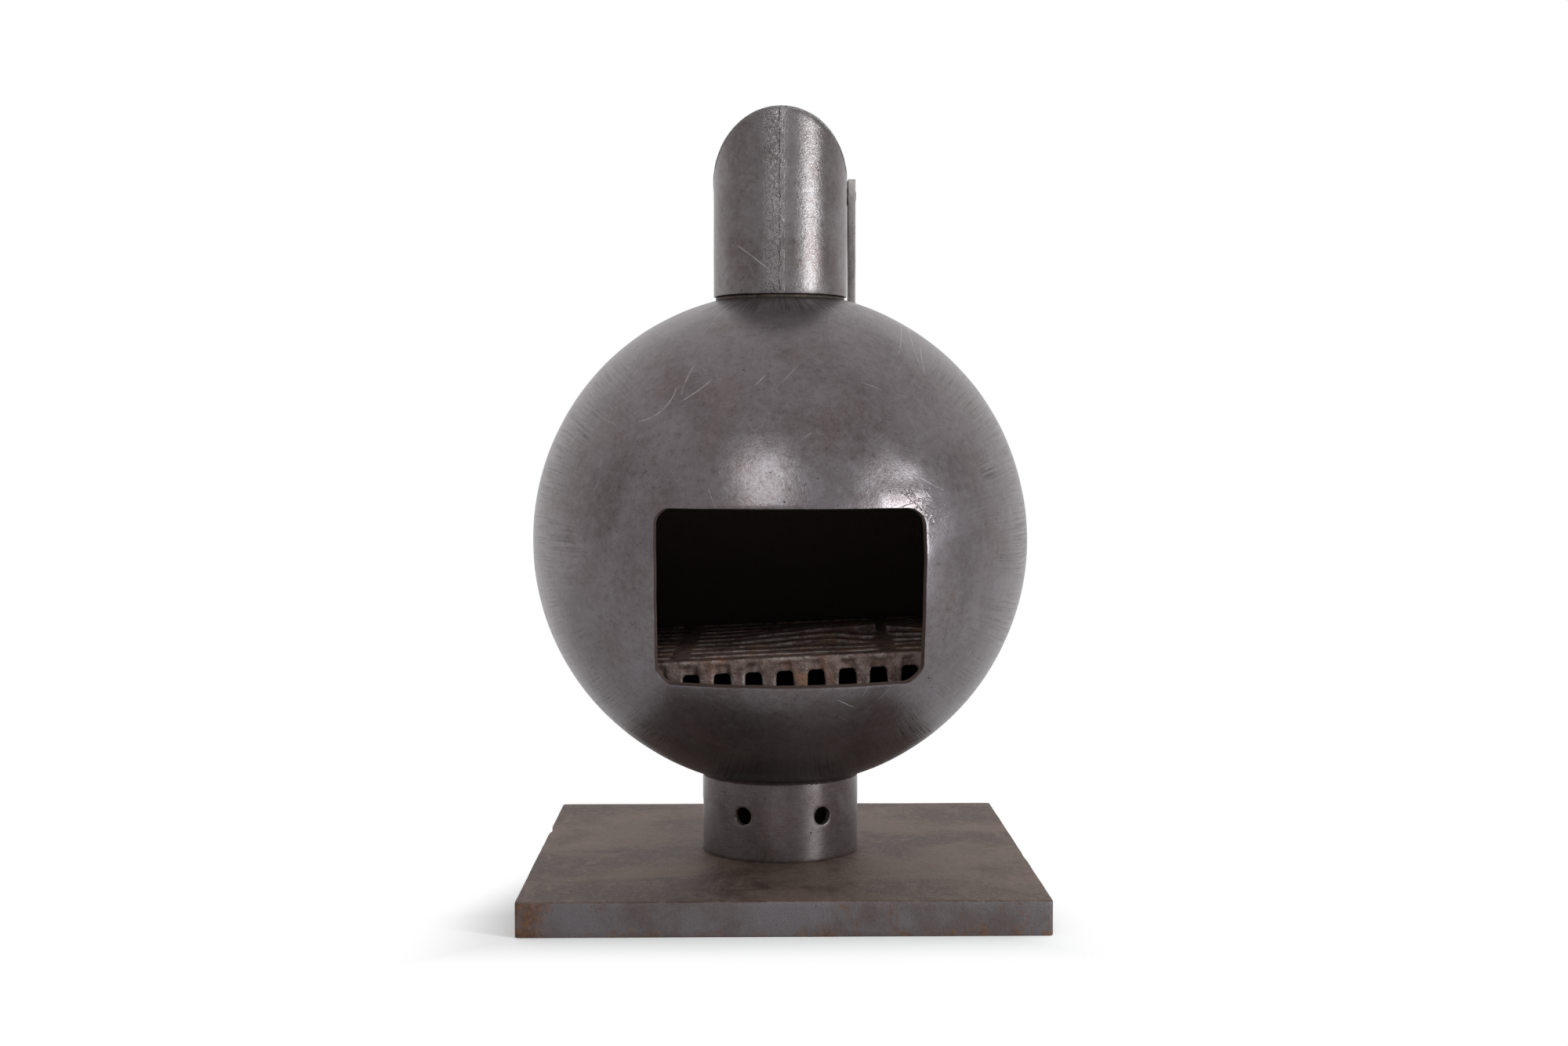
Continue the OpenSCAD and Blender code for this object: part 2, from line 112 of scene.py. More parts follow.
class Finish:
    # One material while it is made
    def __init__(self, name):
        self.material = bpy.data.materials.new(name)
        self.material.use_nodes = True
        self.start(self.material.node_tree, "Object")

    def start(self, tree, coordinates):
        self.tree = tree
        self.tree.nodes.clear()
        self.place = self.node("ShaderNodeTexCoord", output=coordinates)
        self.x, self.y, self.z = self.split(self.place)

    def node(self, kind, settings=None, inputs=None, output=0):
        made = self.tree.nodes.new(kind)
        for key, value in (settings or {}).items():
            setattr(made, key, value)
        for key, value in (inputs or {}).items():
            socket = made.inputs[key]
            if isinstance(value, Wire):
                self.tree.links.new(value.socket, socket)
            elif socket.type == "RGBA":
                socket.default_value = (*value[:3], 1)
            else:
                socket.default_value = value
        return Wire(self, made.outputs[output])

    def end(self, surface, kind="ShaderNodeOutputMaterial"):
        self.tree.links.new(surface.socket, self.tree.nodes.new(kind).inputs["Surface"])

    def split(self, vector):
        first = self.node("ShaderNodeSeparateXYZ", None, {0: vector})
        return [Wire(self, socket) for socket in first.socket.node.outputs]

    def join(self, x, y, z):
        return self.node("ShaderNodeCombineXYZ", None, {0: x, 1: y, 2: z})

    def moved(self, at=None, shift=(0, 0, 0), turn=(0, 0, 0), stretch=(1, 1, 1)):
        settings = {"vector_type": "POINT"}
        inputs = {"Vector": at or self.place, "Location": shift, "Rotation": turn, "Scale": stretch}
        return self.node("ShaderNodeMapping", settings, inputs)

    # Soft noise from 0 to 1, with blotches about size wide
    def grain(self, size, detail=2.0, rough=0.5, at=None, warp=0.0):
        inputs = {"Vector": at or self.place, "Scale": 1 / size, "Detail": detail,
                  "Roughness": rough, "Distortion": warp}
        return self.node("ShaderNodeTexNoise", None, inputs)

    # Smooth step of a value from 0 at low to 1 at high
    def step(self, value, low, high):
        inputs = {"Value": value, "From Min": low, "From Max": high, "To Min": 0, "To Max": 1}
        return self.node("ShaderNodeMapRange", {"interpolation_type": "SMOOTHSTEP"}, inputs)

    # The side towards -Y, from 0 at low in front of the middle to 1 at high
    def front(self, low, high):
        return self.step(-self.y, low, high)

    def blend(self, share, first, second):
        settings = {"data_type": "RGBA", "blend_type": "MIX"}
        return self.node("ShaderNodeMix", settings, {0: share, 6: first, 7: second}, 2)

    # More colours of a look, each laid on where its value runs from low to high
    def layers(self, colour, look, rows):
        for value, low, high, share, tone in rows:
            colour = self.blend(self.step(value, low, high) * share, colour, look[tone])
        return colour

    # Small round spots in a share of the cells of the given size, up to the given radius
    def spots(self, size, radius, share, at=None, dimensions="3D"):
        settings = {"voronoi_dimensions": dimensions}
        inputs = {"Vector": at or self.place, "Scale": 1 / size}
        away = self.node("ShaderNodeTexVoronoi", settings, inputs, "Distance")
        chance, sizeChance, _ = self.split(Wire(self, away.socket.node.outputs["Color"]))
        reach = radius / size * (0.35 + 0.65 * sizeChance)
        near = 1 - self.step(away / reach, 0.45, 1.0)
        return near * self.step(chance, 1 - share, 1 - share + 0.02)

    # Short nicks along X, in cells of the given length; the turn gives each set its own places
    def nicks(self, turn, length, width, share):
        narrow = 1 / (22 * width)
        cells = self.moved(turn=turn, stretch=(1 / length, narrow, narrow))
        sway = self.node("ShaderNodeTexNoise", None, {"Vector": cells, "Scale": 0.6}, "Color")
        bent = self.node("ShaderNodeVectorMath", {"operation": "ADD"}, {0: cells, 1: sway})
        return self.spots(1, 0.045, share, bent)

    # A value kept at each point of the mesh
    def mark(self, name):
        return self.node("ShaderNodeAttribute", {"attribute_name": name}, None, "Fac")

    def dented(self, height, distance):
        inputs = {"Height": height, "Distance": distance, "Strength": 1.0}
        return self.node("ShaderNodeBump", None, inputs)

    def shine(self, colour, roughness, normal, metallic, extra=None):
        inputs = {"Base Color": colour, "Roughness": roughness, "Normal": normal,
                  "Metallic": metallic, **(extra or {})}
        self.end(self.node("ShaderNodeBsdfPrincipled", None, inputs))
        return self.material


# Raw mill steel, as on the ball, the pipes and the plain bars
def rawSteel(name, look, strokes=None, marks=None, relief=None):
    f = Finish(name)
    cloud = f.grain(look["cloudSize"], 5, 0.62, warp=0.4)
    blotch = f.grain(0.034, 6, 0.74, f.moved(shift=(2.3, 0.4, 5.1)), 0.6)
    fine = f.grain(0.0085, 4, 0.65)
    speck = f.grain(look["grainSize"], 3, 0.7)
    stain = f.grain(0.06, 4, 0.62, f.moved(shift=(3.1, 1.7, 0.4)))
    mottle = look["mottle"]
    colour = f.blend(f.step(cloud, 0.30, 0.68), look["dark"], look["light"])
    colour = f.layers(colour, look, [
        (stain, 0.44, 0.72, 0.45, "brown"),
        (blotch, 0.52, 0.72, 0.34 * mottle, "pale"), (blotch, 0.48, 0.28, 0.14 * mottle, "shade"),
        (fine, 0.44, 0.70, 0.30 * mottle, "pale"), (fine, 0.44, 0.26, 0.35 * mottle, "shade"),
        (speck, 0.54, 0.74, look["speckle"], "shade")])
    # pits stand close together in some patches, with a few larger ones between
    patch = f.step(f.grain(0.09, 2, 0.5, f.moved(shift=(0.7, 5.2, 2.2))), 0.42, 0.62)
    pits = f.spots(0.0075, look["pitRadius"], look["pitShare"]) * (0.2 + 0.8 * patch)
    pits = pits.high(f.spots(0.034, 0.0020, 0.16))
    colour = f.blend(pits * 0.8, colour, look["shade"])
    height = (fine - 0.5) * look["lumps"] + (speck - 0.5) * look["orangePeel"] - pits * 0.9
    rough = look["roughness"] + (cloud - 0.5) * 0.12 + (speck - 0.5) * 0.12 + pits * 0.2
    line = f.nicks((0.3, 0.2, 0.9), 0.05, 0.00025, look["scratched"])
    line = line.high(f.nicks((1.1, 0.9, -0.5), 0.035, 0.0002, look["scratched"] * 0.8))
    colour = f.blend(line * 0.5, colour, look["scratch"])
    if marks:
        drawn = marks(f)
        colour = f.blend(drawn * 0.42, colour, look["scratch"])
        line = line.high(drawn)
    height = height - line * 0.3
    if strokes:
        ground, share, depth = strokes(f)
        colour = f.blend(ground * share * 0.62, colour, look["shade"])
        colour = f.blend((1 - ground) * share * 0.32, colour, look["pale"])
        height = height - ground * share * depth
    if relief:
        lift, dark = relief(f)
        height = height + lift
        colour = f.blend(dark, colour, look["shade"])
    inside = f.mark("inside")
    # inner faces turn dark: real soot inside the ball and the flue, painted shade inside the
    # pedestal
    sootAndShade = f.step(inside, 0.78, 0.98)
    cut = f.step(inside, 0.03, 0.20)
    colour = f.blend(cut * 0.9, colour, look["cutEdge"])
    colour = f.blend(sootAndShade, colour, look["sootAndShade"])
    metal = look["metallic"] * (1 - sootAndShade) * (1 - 0.6 * cut)
    normal = f.dented(height, look["relief"])
    return f.shine(colour, rough + sootAndShade * 0.4, normal, metal, look["extra"])


steelLook = {
    "dark": (0.124, 0.103, 0.107), "light": (0.184, 0.159, 0.170), "brown": (0.135, 0.100, 0.094),
    "pale": (0.232, 0.214, 0.224), "shade": (0.040, 0.028, 0.026), "scratch": (0.48, 0.45, 0.45),
    "cutEdge": (0.080, 0.052, 0.043), "sootAndShade": (0.060, 0.042, 0.036),
    "cloudSize": 0.11, "grainSize": 0.0030,     # width of the wide clouds and of the specks
    "speckle": 0.50, "mottle": 1.0,             # strength of the specks and of the blotches
    "lumps": 0.22, "orangePeel": 0.20,          # share of blotches and specks in the relief
    "relief": 0.0008, "roughness": 0.33, "metallic": 0.88,
    "pitRadius": 0.0015, "pitShare": 0.20, "scratched": 0.24, "extra": {},
}
pipeLook = {
    **steelLook, "dark": (0.140, 0.118, 0.118), "light": (0.205, 0.182, 0.188),
    "cloudSize": 0.09, "grainSize": 0.0026, "speckle": 0.55, "orangePeel": 0.42,
    "roughness": 0.325, "pitShare": 0.35, "mottle": 1.2, "scratched": 0.10,
}
pedestalLook = {
    **pipeLook, "dark": (0.082, 0.061, 0.058), "light": (0.142, 0.118, 0.120),
    "orangePeel": 0.2, "lumps": 0.1, "cloudSize": 0.07, "roughness": 0.36, "mottle": 0.5,
    "extra": {"Anisotropic": 0.7, "Anisotropic Rotation": 0.25},
}
barLook = {
    **steelLook, "dark": (0.270, 0.230, 0.224), "light": (0.400, 0.350, 0.345),
    "cloudSize": 0.04, "scratched": 0.10, "roughness": 0.44,
}


# Marks on the ball's front, as they lie in the front view
ballScratches = {
    # bright curved ones, parts of circles: middle x and z from the ball's centre, radius, start
    # and end angle
    "arcs": [
        (-0.172, 0.197, 0.052, -1.45, -0.25), (-0.02, 0.155, 0.098, 2.55, 2.95),
        (0.03, 0.27, 0.115, -0.42, 0.10), (0.30, 0.255, 0.145, 2.85, 3.45),
        (0.34, 0.225, 0.175, 3.05, 3.30), (-0.19, 0.31, 0.16, -1.1, -0.75),
    ],
    # fine straight ones, each in a long narrow cell
    "turns": (0.45, -0.75, 1.25, 2.1), "cellLength": 0.42, "cellWidth": 0.012, "share": 0.50,
}


def fineScratches(f):
    bend = (f.grain(0.10, 1) - 0.5) * 0.03
    lines = []
    for count, turn in enumerate(ballScratches["turns"]):
        turned = f.moved(f.join(f.x, f.z + bend, 0), (0.37 * count, 0.11 * count, 0), (0, 0, turn))
        stretch = (1 / ballScratches["cellLength"], 1 / ballScratches["cellWidth"], 1)
        cells = f.moved(turned, stretch=stretch)
        lines.append(f.spots(1, 0.045, ballScratches["share"], cells, "2D"))
    patches = f.step(f.grain(0.12, 2, 0.5, f.moved(shift=(4, 1, 6))), 0.40, 0.60)
    return strongest(lines) * patches * f.front(0.03, 0.12)


def strongest(lines):
    most = lines[0]
    for line in lines[1:]:
        most = most.high(line)
    return most


def ballMarks(f):
    lines = [fineScratches(f)]
    for x, z, radius, start, end in ballScratches["arcs"]:
        across = f.x - x
        up = f.z - (ballCentre.z + z)
        away = abs((across * across + up * up).root() - radius)
        angle = up.angle(across)
        if end > pi:
            angle = angle + tau * f.step(-angle, 0, 0.001)
        along = f.step(angle, start, start + 0.05) * (1 - f.step(angle, end - 0.05, end))
        line = (1 - f.step(away, 0.0002, 0.0009)) * along * f.front(0, 0.01)
        lines.append(line * f.step(f.grain(0.012, 2), 0.3, 0.55))
    return strongest(lines)


# Strokes of the grinder across the seam between the two hemispheres, and round the collar
def ballStrokes(f):
    up = f.z - ballCentre.z
    wander = (f.grain(0.09, 1) - 0.5) * 0.03
    seam = f.join((up.angle(f.x) + wander) * 0.31, f.y * 0.030, 0)
    edge = 0.115 + (f.grain(0.05, 4, 0.65) - 0.5) * 0.24
    seamShare = (1 - f.step(abs(f.y), edge, edge + 0.13)) * (1 - 0.7 * f.step(up, 0.19, 0.25))
    patches = f.step(f.grain(0.06, 4, 0.65, f.moved(shift=(2, 2, 2))), 0.22, 0.62)
    collar = f.grain(0.0060, 5, 0.72, f.join(f.y.angle(f.x) * 0.12, up * 0.10, 0))
    collarShare = f.step(up + (f.grain(0.03, 2) - 0.5) * 0.02, 0.262, 0.284)
    lines = f.step(f.grain(0.0038, 4, 0.70, seam), 0.44, 0.60) * seamShare * patches
    lines = lines.high(f.step(collar, 0.44, 0.60) * collarShare)
    return lines, (seamShare * patches).high(collarShare), 0.2


# Wrinkles that were hammered out beside the mouth's upper right corner
ballWrinkle = {"right": 0.155, "above": 0.044, "width": 0.034, "height": 0.028, "size": 0.034}


def ballWrinkles(f):
    across = (f.x - ballWrinkle["right"]) / ballWrinkle["width"]
    up = (f.z - ballCentre.z - ballWrinkle["above"]) / ballWrinkle["height"]
    near = (1 - f.step(across * across + up * up, 0.2, 1.4)) * f.front(0, 0.02)
    folds = f.moved(turn=(0, 0.5, 0), stretch=(1, 1, 1.7))
    folds = f.grain(ballWrinkle["size"], 3, 0.55, folds, 1.4)
    ridge = f.step(folds, 0.49, 0.53) * (1 - f.step(folds, 0.53, 0.57))
    lift = (f.step(folds, 0.30, 0.70) * 0.30 + ridge * 0.34) * near
    return lift, near * f.step(folds, 0.62, 0.72) * 0.1


ballSteel = rawSteel("ball steel", steelLook, ballStrokes, ballMarks, ballWrinkles)


# Pipe: rough and pitted on the left of its lengthwise seam, with a crack along the seam's edge
pipeCrack = {"place": -0.0018, "sway": 0.0052, "halfWidth": 0.00042, "roughLeft": -0.024}


def pipeStrokes(f):
    lines = f.grain(0.004, 3, 0.6, f.moved(stretch=(1, 1, 0.12)))
    return f.step(lines, 0.48, 0.66), f.step(f.grain(0.05, 2), 0.45, 0.65) * 0.18, 0.1


def pipeRelief(f):
    half, face = pipeCrack["halfWidth"], f.front(0.02, 0.04)
    sway = (f.grain(0.020, 5, 0.78, f.join(0, 0, f.z)) - 0.5) * (2 * pipeCrack["sway"])
    away = f.x - sway - pipeCrack["place"]
    crack = (1 - f.step(abs(away), half * 0.5, half * 1.6)) * face
    crack = crack * f.step(f.grain(0.012, 3, 0.6, f.join(3, 0, f.z)), 0.40, 0.58)
    left = pipeCrack["roughLeft"] + (f.grain(0.02, 3) - 0.5) * 0.012
    zone = f.step(f.x, left, left + 0.005) * (1 - f.step(away, -0.001, 0.0005)) * face
    chips = f.step(f.grain(0.0026, 3, 0.65), 0.42, 0.68)
    return (0.5 - chips) * zone * 0.75 - crack * 1.3, crack * 0.75 + chips * zone * 0.03


# One long scratch low on the riser's left side, and how far it falls to the right
pipeScratch = {"x": -0.054, "above": 0.060, "length": 0.049, "fall": 0.67, "fade": 0.006}


def pipeMarks(f):
    right, down = cos(pipeScratch["fall"]), sin(pipeScratch["fall"])
    length, fade = pipeScratch["length"], pipeScratch["fade"]
    across, up = f.x - pipeScratch["x"], f.z - (riserLow.z + pipeScratch["above"])
    away = abs(across * down + up * right)
    along = across * right - up * down
    line = f.step(along, 0, fade) * (1 - f.step(along, length - fade, length))
    return line * (1 - f.step(away, 0.0003, 0.0010)) * f.front(0.02, 0.04)


pipeSteel = rawSteel("pipe steel", pipeLook, pipeStrokes, pipeMarks, pipeRelief)


def pedestalStrokes(f):
    around = f.y.angle(f.x)
    lines = f.grain(0.0022, 3, 0.65, f.join(around * 0.010, f.z - around * 0.004, 0), 0.2)
    return f.step(lines, 0.48, 0.70), f.step(f.grain(0.05, 3), 0.36, 0.6) * 0.3, 0.2


pedestalSteel = rawSteel("pedestal steel", pedestalLook, pedestalStrokes)
barSteel = rawSteel("bar steel", barLook)


# Welds, as they were laid or ground down
weldLooks = {
    "raw weld": {"dark": (0.035, 0.026, 0.023), "light": (0.095, 0.074, 0.066),
                 "rust": (0.16, 0.075, 0.035), "roughness": 0.5},
    "ground weld": {"dark": (0.13, 0.115, 0.113), "light": (0.24, 0.23, 0.235),
                    "rust": (0.16, 0.075, 0.035), "roughness": 0.36},
}


def weldFinish(name):
    f, look = Finish(name), weldLooks[name]
    lump = f.grain(0.004, 4, 0.6)
    colour = f.blend(f.step(lump, 0.35, 0.7), look["dark"], look["light"])
    colour = f.layers(colour, look, [(f.grain(0.02, 3), 0.55, 0.75, 0.5, "rust")])
    normal = f.dented(f.grain(0.0016, 4, 0.7) + lump * 0.5, 0.0006)
    return f.shine(colour, look["roughness"] + (lump - 0.5) * 0.25, normal, 0.8)


rawWeld = weldFinish("raw weld")
groundWeld = weldFinish("ground weld")


# Turned steel of the spindle, the washer, the bolts and the nuts
brightLook = {"dark": (0.20, 0.18, 0.17), "light": (0.34, 0.33, 0.32),
              "roughness": 0.32, "metallic": 0.95}


def brightSteel(look):
    f = Finish("bright steel")
    turned = f.grain(0.0012, 3, 0.5, f.moved(stretch=(1, 0.15, 0.15)))
    colour = f.blend(f.step(f.grain(0.02, 3), 0.4, 0.7), look["dark"], look["light"])
    rough = look["roughness"] + turned * 0.2
    return f.shine(colour, rough, f.dented(turned, 0.0002), look["metallic"])


fastenerSteel = brightSteel(brightLook)


# Slab: rolled top, flame-cut sides, rust along the lower edge and the corners
slabLook = {
    "dark": (0.070, 0.041, 0.031), "light": (0.176, 0.119, 0.094), "pale": (0.225, 0.168, 0.142),
    "worn": (0.235, 0.192, 0.172), "shade": (0.040, 0.024, 0.019), "speck": (0.040, 0.028, 0.024),
    "cutDark": (0.112, 0.086, 0.083), "cutLight": (0.150, 0.130, 0.138),
    "cutPale": (0.165, 0.147, 0.160), "topRust": (0.17, 0.095, 0.055),
    "rustDark": (0.130, 0.058, 0.034), "rustLight": (0.27, 0.115, 0.038),
    "fleck": (0.42, 0.17, 0.045), "dot": (0.55, 0.52, 0.50),
    "roughness": 0.56, "relief": 0.0013, "metallic": 0.82,
}


def slabFinish(look):
    f = Finish("slab plate")
    wide = f.grain(0.15, 5, 0.62, f.moved(stretch=(0.6, 1, 1)), 0.5)
    blotch = f.moved(shift=(4, 2, 1), turn=(0, 0, 0.6), stretch=(1, 0.6, 1))
    blotch = f.grain(0.028, 7, 0.76, blotch, 0.7)
    fine = f.grain(0.0055, 5, 0.75)
    speck = f.grain(0.0020, 3, 0.7)
    top = f.step(f.z, slabHigh.z - 0.0018, slabHigh.z - 0.0006)
    plate = f.blend(f.step(wide, 0.38, 0.60), look["dark"], look["light"])
    plate = f.layers(plate, look, [
        (blotch, 0.48, 0.64, 0.50, "pale"), (blotch, 0.46, 0.32, 0.50, "shade"),
        (fine, 0.46, 0.70, 0.45, "worn"), (fine, 0.44, 0.28, 0.45, "shade")])
    side = f.blend(f.step(f.grain(0.09, 4, 0.6), 0.35, 0.66), look["cutDark"], look["cutLight"])
    side = f.layers(side, look, [(blotch, 0.45, 0.70, 0.5, "cutPale")])
    colour = f.layers(f.blend(top, side, plate), look, [(speck, 0.50, 0.76, 0.45, "speck")])
    # rust runs up in streaks from the lower edge, most at the left corner and on the right
    low = 1 - f.step(f.z, 0.000, 0.016)
    leftCorner = 1 - f.step(f.x, slabLow.x + 0.012, slabLow.x + 0.075)
    corner = f.step(abs(f.x) + abs(f.y), slabHigh.x * 2 - 0.045, slabHigh.x * 2 - 0.006)
    streak = f.grain(0.022, 5, 0.7, f.moved(shift=(1, 3, 0), stretch=(1, 1, 0.6)), 0.5)
    rightLow = low * f.step(f.x, 0.08, 0.22)
    rust = (low * 0.11 + rightLow * 0.05 + corner * 0.06 + leftCorner * 0.10 + streak) * (1 - top)
    rustShare = f.step(rust, 0.53, 0.80)
    orange = f.step(f.grain(0.006, 3), 0.35, 0.7)
    rustColour = f.blend(orange, look["rustDark"], look["rustLight"])
    colour = f.blend(rustShare * 0.60, colour, rustColour)
    flecks = f.step(f.grain(0.007, 5, 0.8, f.moved(shift=(2, 5, 3))), 0.60, 0.70)
    flecks = flecks * (1 - f.step(f.z, 0.002, 0.018)) * f.step(f.grain(0.05, 2), 0.42, 0.6)
    colour = f.blend(flecks * (1 - top) * 0.7, colour, look["fleck"])
    topRust = f.step(f.grain(0.035, 5, 0.7, f.moved(shift=(7, 3, 1))), 0.56, 0.78) * top
    colour = f.blend(topRust * 0.5, colour, look["topRust"])
    colour = f.blend(f.spots(0.05, 0.0014, 0.10) * top, colour, look["dot"])
    drag = f.grain(0.0024, 2, 0.5, f.moved(stretch=(1, 1, 0.10)))
    height = ((fine - 0.5) * 1.3 + (speck - 0.5) * 0.9) * (0.35 + 0.65 * top)
    height = height + (drag - 0.5) * (1 - top) * 0.2
    rough = look["roughness"] + (wide - 0.5) * 0.2 + (blotch - 0.5) * 0.2 + rustShare * 0.25
    return f.shine(colour, rough, f.dented(height, look["relief"]), look["metallic"])


slabPlate = slabFinish(slabLook)


# Cast grate: brown iron with light, worn edges
grateLook = {
    "dark": (0.096, 0.057, 0.048), "light": (0.218, 0.152, 0.138), "rust": (0.27, 0.125, 0.068),
    "worn": (0.37, 0.315, 0.295), "roughness": 0.62, "relief": 0.0012, "metallic": 0.4,
}


def grateFinish(look):
    f = Finish("grate iron")
    lump = f.grain(0.014, 4, 0.65)
    speck = f.grain(0.0035, 4, 0.7)
    rust = f.grain(0.045, 3, 0.6, f.moved(shift=(1, 4, 2)))
    colour = f.blend(f.step(lump, 0.35, 0.68), look["dark"], look["light"])
    colour = f.layers(colour, look, [(rust, 0.48, 0.70, 0.6, "rust")])
    edge = f.step(f.mark("wear") + (speck - 0.5) * 0.7, 0.08, 0.38)
    edge = edge * f.step(f.grain(0.022, 4, 0.7), 0.40, 0.60)
    colour = f.blend(edge * 0.7, colour, look["worn"])
    height = (lump - 0.5) * 0.6 + (speck - 0.5) * 0.9
    normal = f.dented(height, look["relief"])
    return f.shine(colour, look["roughness"] - edge * 0.14, normal, look["metallic"])


grateIron = grateFinish(grateLook)
print("finishes made")


# Building helpers
def bumps(point, size, seed=0.0):
    return noise.noise(Vector(point) / size + Vector((seed, seed * 0.7, -seed)))


def settle(piece):
    # The piece's modifiers become part of its mesh
    graph = bpy.context.evaluated_depsgraph_get()
    mesh = bpy.data.meshes.new_from_object(piece.evaluated_get(graph), depsgraph=graph)
    old = piece.data
    piece.modifiers.clear()
    piece.data = mesh
    bpy.data.meshes.remove(old)


def makeObject(name, bm):
    mesh = bpy.data.meshes.new(name)
    bm.to_mesh(mesh)
    bm.free()
    piece = bpy.data.objects.new(name, mesh)
    bpy.context.scene.collection.objects.link(piece)
    return piece


def finishPiece(piece, body, finish, slotName, nodes, sharp=38):
    mesh = piece.data
    mesh.materials.clear()
    mesh.materials.append(finish)
    mesh.shade_smooth()
    mesh.set_sharp_from_angle(angle=radians(sharp))
    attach(piece, body)
    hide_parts(*nodes)
    return piece


def addPiece(name, bm, *about):
    return finishPiece(makeObject(name, bm), *about)


def markInside(piece, depthOf):
    # Keeps at each point how deep it lies in the wall: 0 on the outer face, 1 on the inner one
    layer = piece.data.attributes.new("inside", "FLOAT", "POINT")
    layer.data.foreach_set("value", [min(1, max(0, depthOf(v.co))) for v in piece.data.vertices])


def cutAway(piece, cutters):
    # Takes closed shapes out of a piece
    for bm in cutters:
        bmesh.ops.recalc_face_normals(bm, faces=bm.faces[:])
        cutter = makeObject("cutter", bm)
        modifier = piece.modifiers.new("cut", "BOOLEAN")
        modifier.operation = "DIFFERENCE"
        modifier.solver = "EXACT"
        modifier.object = cutter
        settle(piece)
        bpy.data.objects.remove(cutter)


def thicken(piece, depth):
    # A wall of the given depth behind the skin
    modifier = piece.modifiers.new("wall", "SOLIDIFY")
    modifier.thickness = depth
    modifier.offset = -1
    settle(piece)


def softenEdges(piece, width, segments=2, angle=50):
    modifier = piece.modifiers.new("soft edges", "BEVEL")
    modifier.width = width
    modifier.segments = segments
    modifier.limit_method = "ANGLE"
    modifier.angle_limit = radians(angle)
    modifier.harden_normals = False
    settle(piece)


def outward(away, axis=2):
    # Direction straight away from an axis: 0, 1 or 2 for X, Y or Z
    flat = Vector(away)
    flat[axis] = 0
    return flat.normalized()


def tubeDepth(radius, wall, axis=2, middle=(0, 0, 0)):
    # For markInside: how deep a place lies in the wall of a tube round an axis
    def depth(place):
        away = place - Vector(middle)
        away[axis] = 0
        return (radius - away.length) / wall
    return depth


def cubeBetween(low, high):
    low, high = Vector(low), Vector(high)
    bm = bmesh.new()
    bmesh.ops.create_cube(bm, size=1)
    bmesh.ops.scale(bm, vec=high - low, verts=bm.verts[:])
    bmesh.ops.translate(bm, vec=(high + low) / 2, verts=bm.verts[:])
    return bm


def cutPlane(bm, place, normal, clear=False):
    bmesh.ops.bisect_plane(bm, geom=bm.verts[:] + bm.edges[:] + bm.faces[:], plane_co=place,
                           plane_no=normal, clear_inner=clear)


def roundEdges(bm, axis, along, width, segments):
    # Rounds the edges that run along an axis, or those that lie square to it
    def chosen(edge):
        run = abs(edge.verts[0].co[axis] - edge.verts[1].co[axis])
        return run > 0.004 if along else run < 1e-6
    bmesh.ops.bevel(bm, geom=[edge for edge in bm.edges if chosen(edge)], offset=width,
                    offset_type="OFFSET", segments=segments, profile=0.5, affect="EDGES",
                    material=-1)


def spunShape(outline, steps, axis="Z", place=(0, 0, 0)):
    # A closed outline of radius and height pairs, spun round an axis
    bm = bmesh.new()
    corners = [bm.verts.new((radius, 0, height)) for radius, height in outline]
    rim = [bm.edges.new((a, b)) for a, b in zip(corners, corners[1:] + corners[:1])]
    bmesh.ops.spin(bm, geom=corners + rim, cent=(0, 0, 0), axis=(0, 0, 1), dvec=(0, 0, 0),
                   angle=tau, steps=steps, use_merge=True, use_duplicate=False)
    bmesh.ops.remove_doubles(bm, verts=bm.verts[:], dist=1e-6)
    bmesh.ops.recalc_face_normals(bm, faces=bm.faces[:])
    turns = {"X": Matrix.Rotation(pi / 2, 4, "Y"), "Y": Matrix.Rotation(-pi / 2, 4, "X"),
             "Z": Matrix()}
    bmesh.ops.transform(bm, matrix=Matrix.Translation(place) @ turns[axis], verts=bm.verts[:])
    return bm


def chamferedRing(inner, outer, low, high, chamfer, hollow=True):
    # Outline of a ring or, if it isn't hollow, of a solid round bar
    c = chamfer
    rim = [(outer - c, low), (outer, low + c), (outer, high - c), (outer - c, high)]
    if not hollow:
        return [(0, low), *rim, (0, high)]
    return [(inner + c, low), *rim, (inner + c, high), (inner, high - c), (inner, low + c)]


def plug(radius, low, high, axis="Z", place=(0, 0, 0), steps=96):
    return spunShape([(0, low), (radius, low), (radius, high), (0, high)], steps, axis, place)


# Ball
ballShape = {
    "wall": 0.006,
    "swell": 0.0011,        # slow unevenness of the pressed plates
    "swellSize": 0.17,
    "ripple": 0.00022,
    "rippleSize": 0.035,
    # dents round the mouth's upper right corner: x, z, radius, depth
    "dents": [(0.128, 0.083, 0.030, -0.0016), (0.158, 0.062, 0.017, 0.0014),
              (0.176, 0.030, 0.022, -0.0012), (0.112, 0.060, 0.014, 0.0009),
              (0.168, -0.005, 0.020, 0.0008), (0.145, 0.100, 0.016, 0.0008),
              (-0.030, 0.075, 0.028, -0.0006)],
}


def ballSwell(direction):
    swell = ballShape["swell"] * bumps(direction * ballRadius, ballShape["swellSize"], 3.0)
    swell += ballShape["ripple"] * bumps(direction * ballRadius, ballShape["rippleSize"], 8.0)
    if direction.y < 0:
        for x, z, radius, depth in ballShape["dents"]:
            away = hypot(direction.x * ballRadius - x, direction.z * ballRadius - z)
            if away < 3 * radius:
                swell += depth * exp(-(away / radius) ** 2)
    return swell


def ballDepth(place):
    away = place - ballCentre
    return (ballRadius + ballSwell(away.normalized()) - away.length) / ballShape["wall"]


def ontoBall(verts):
    for v in verts:
        direction = (v.co - ballCentre).normalized()
        v.co = ballCentre + direction * (ballRadius + ballSwell(direction))


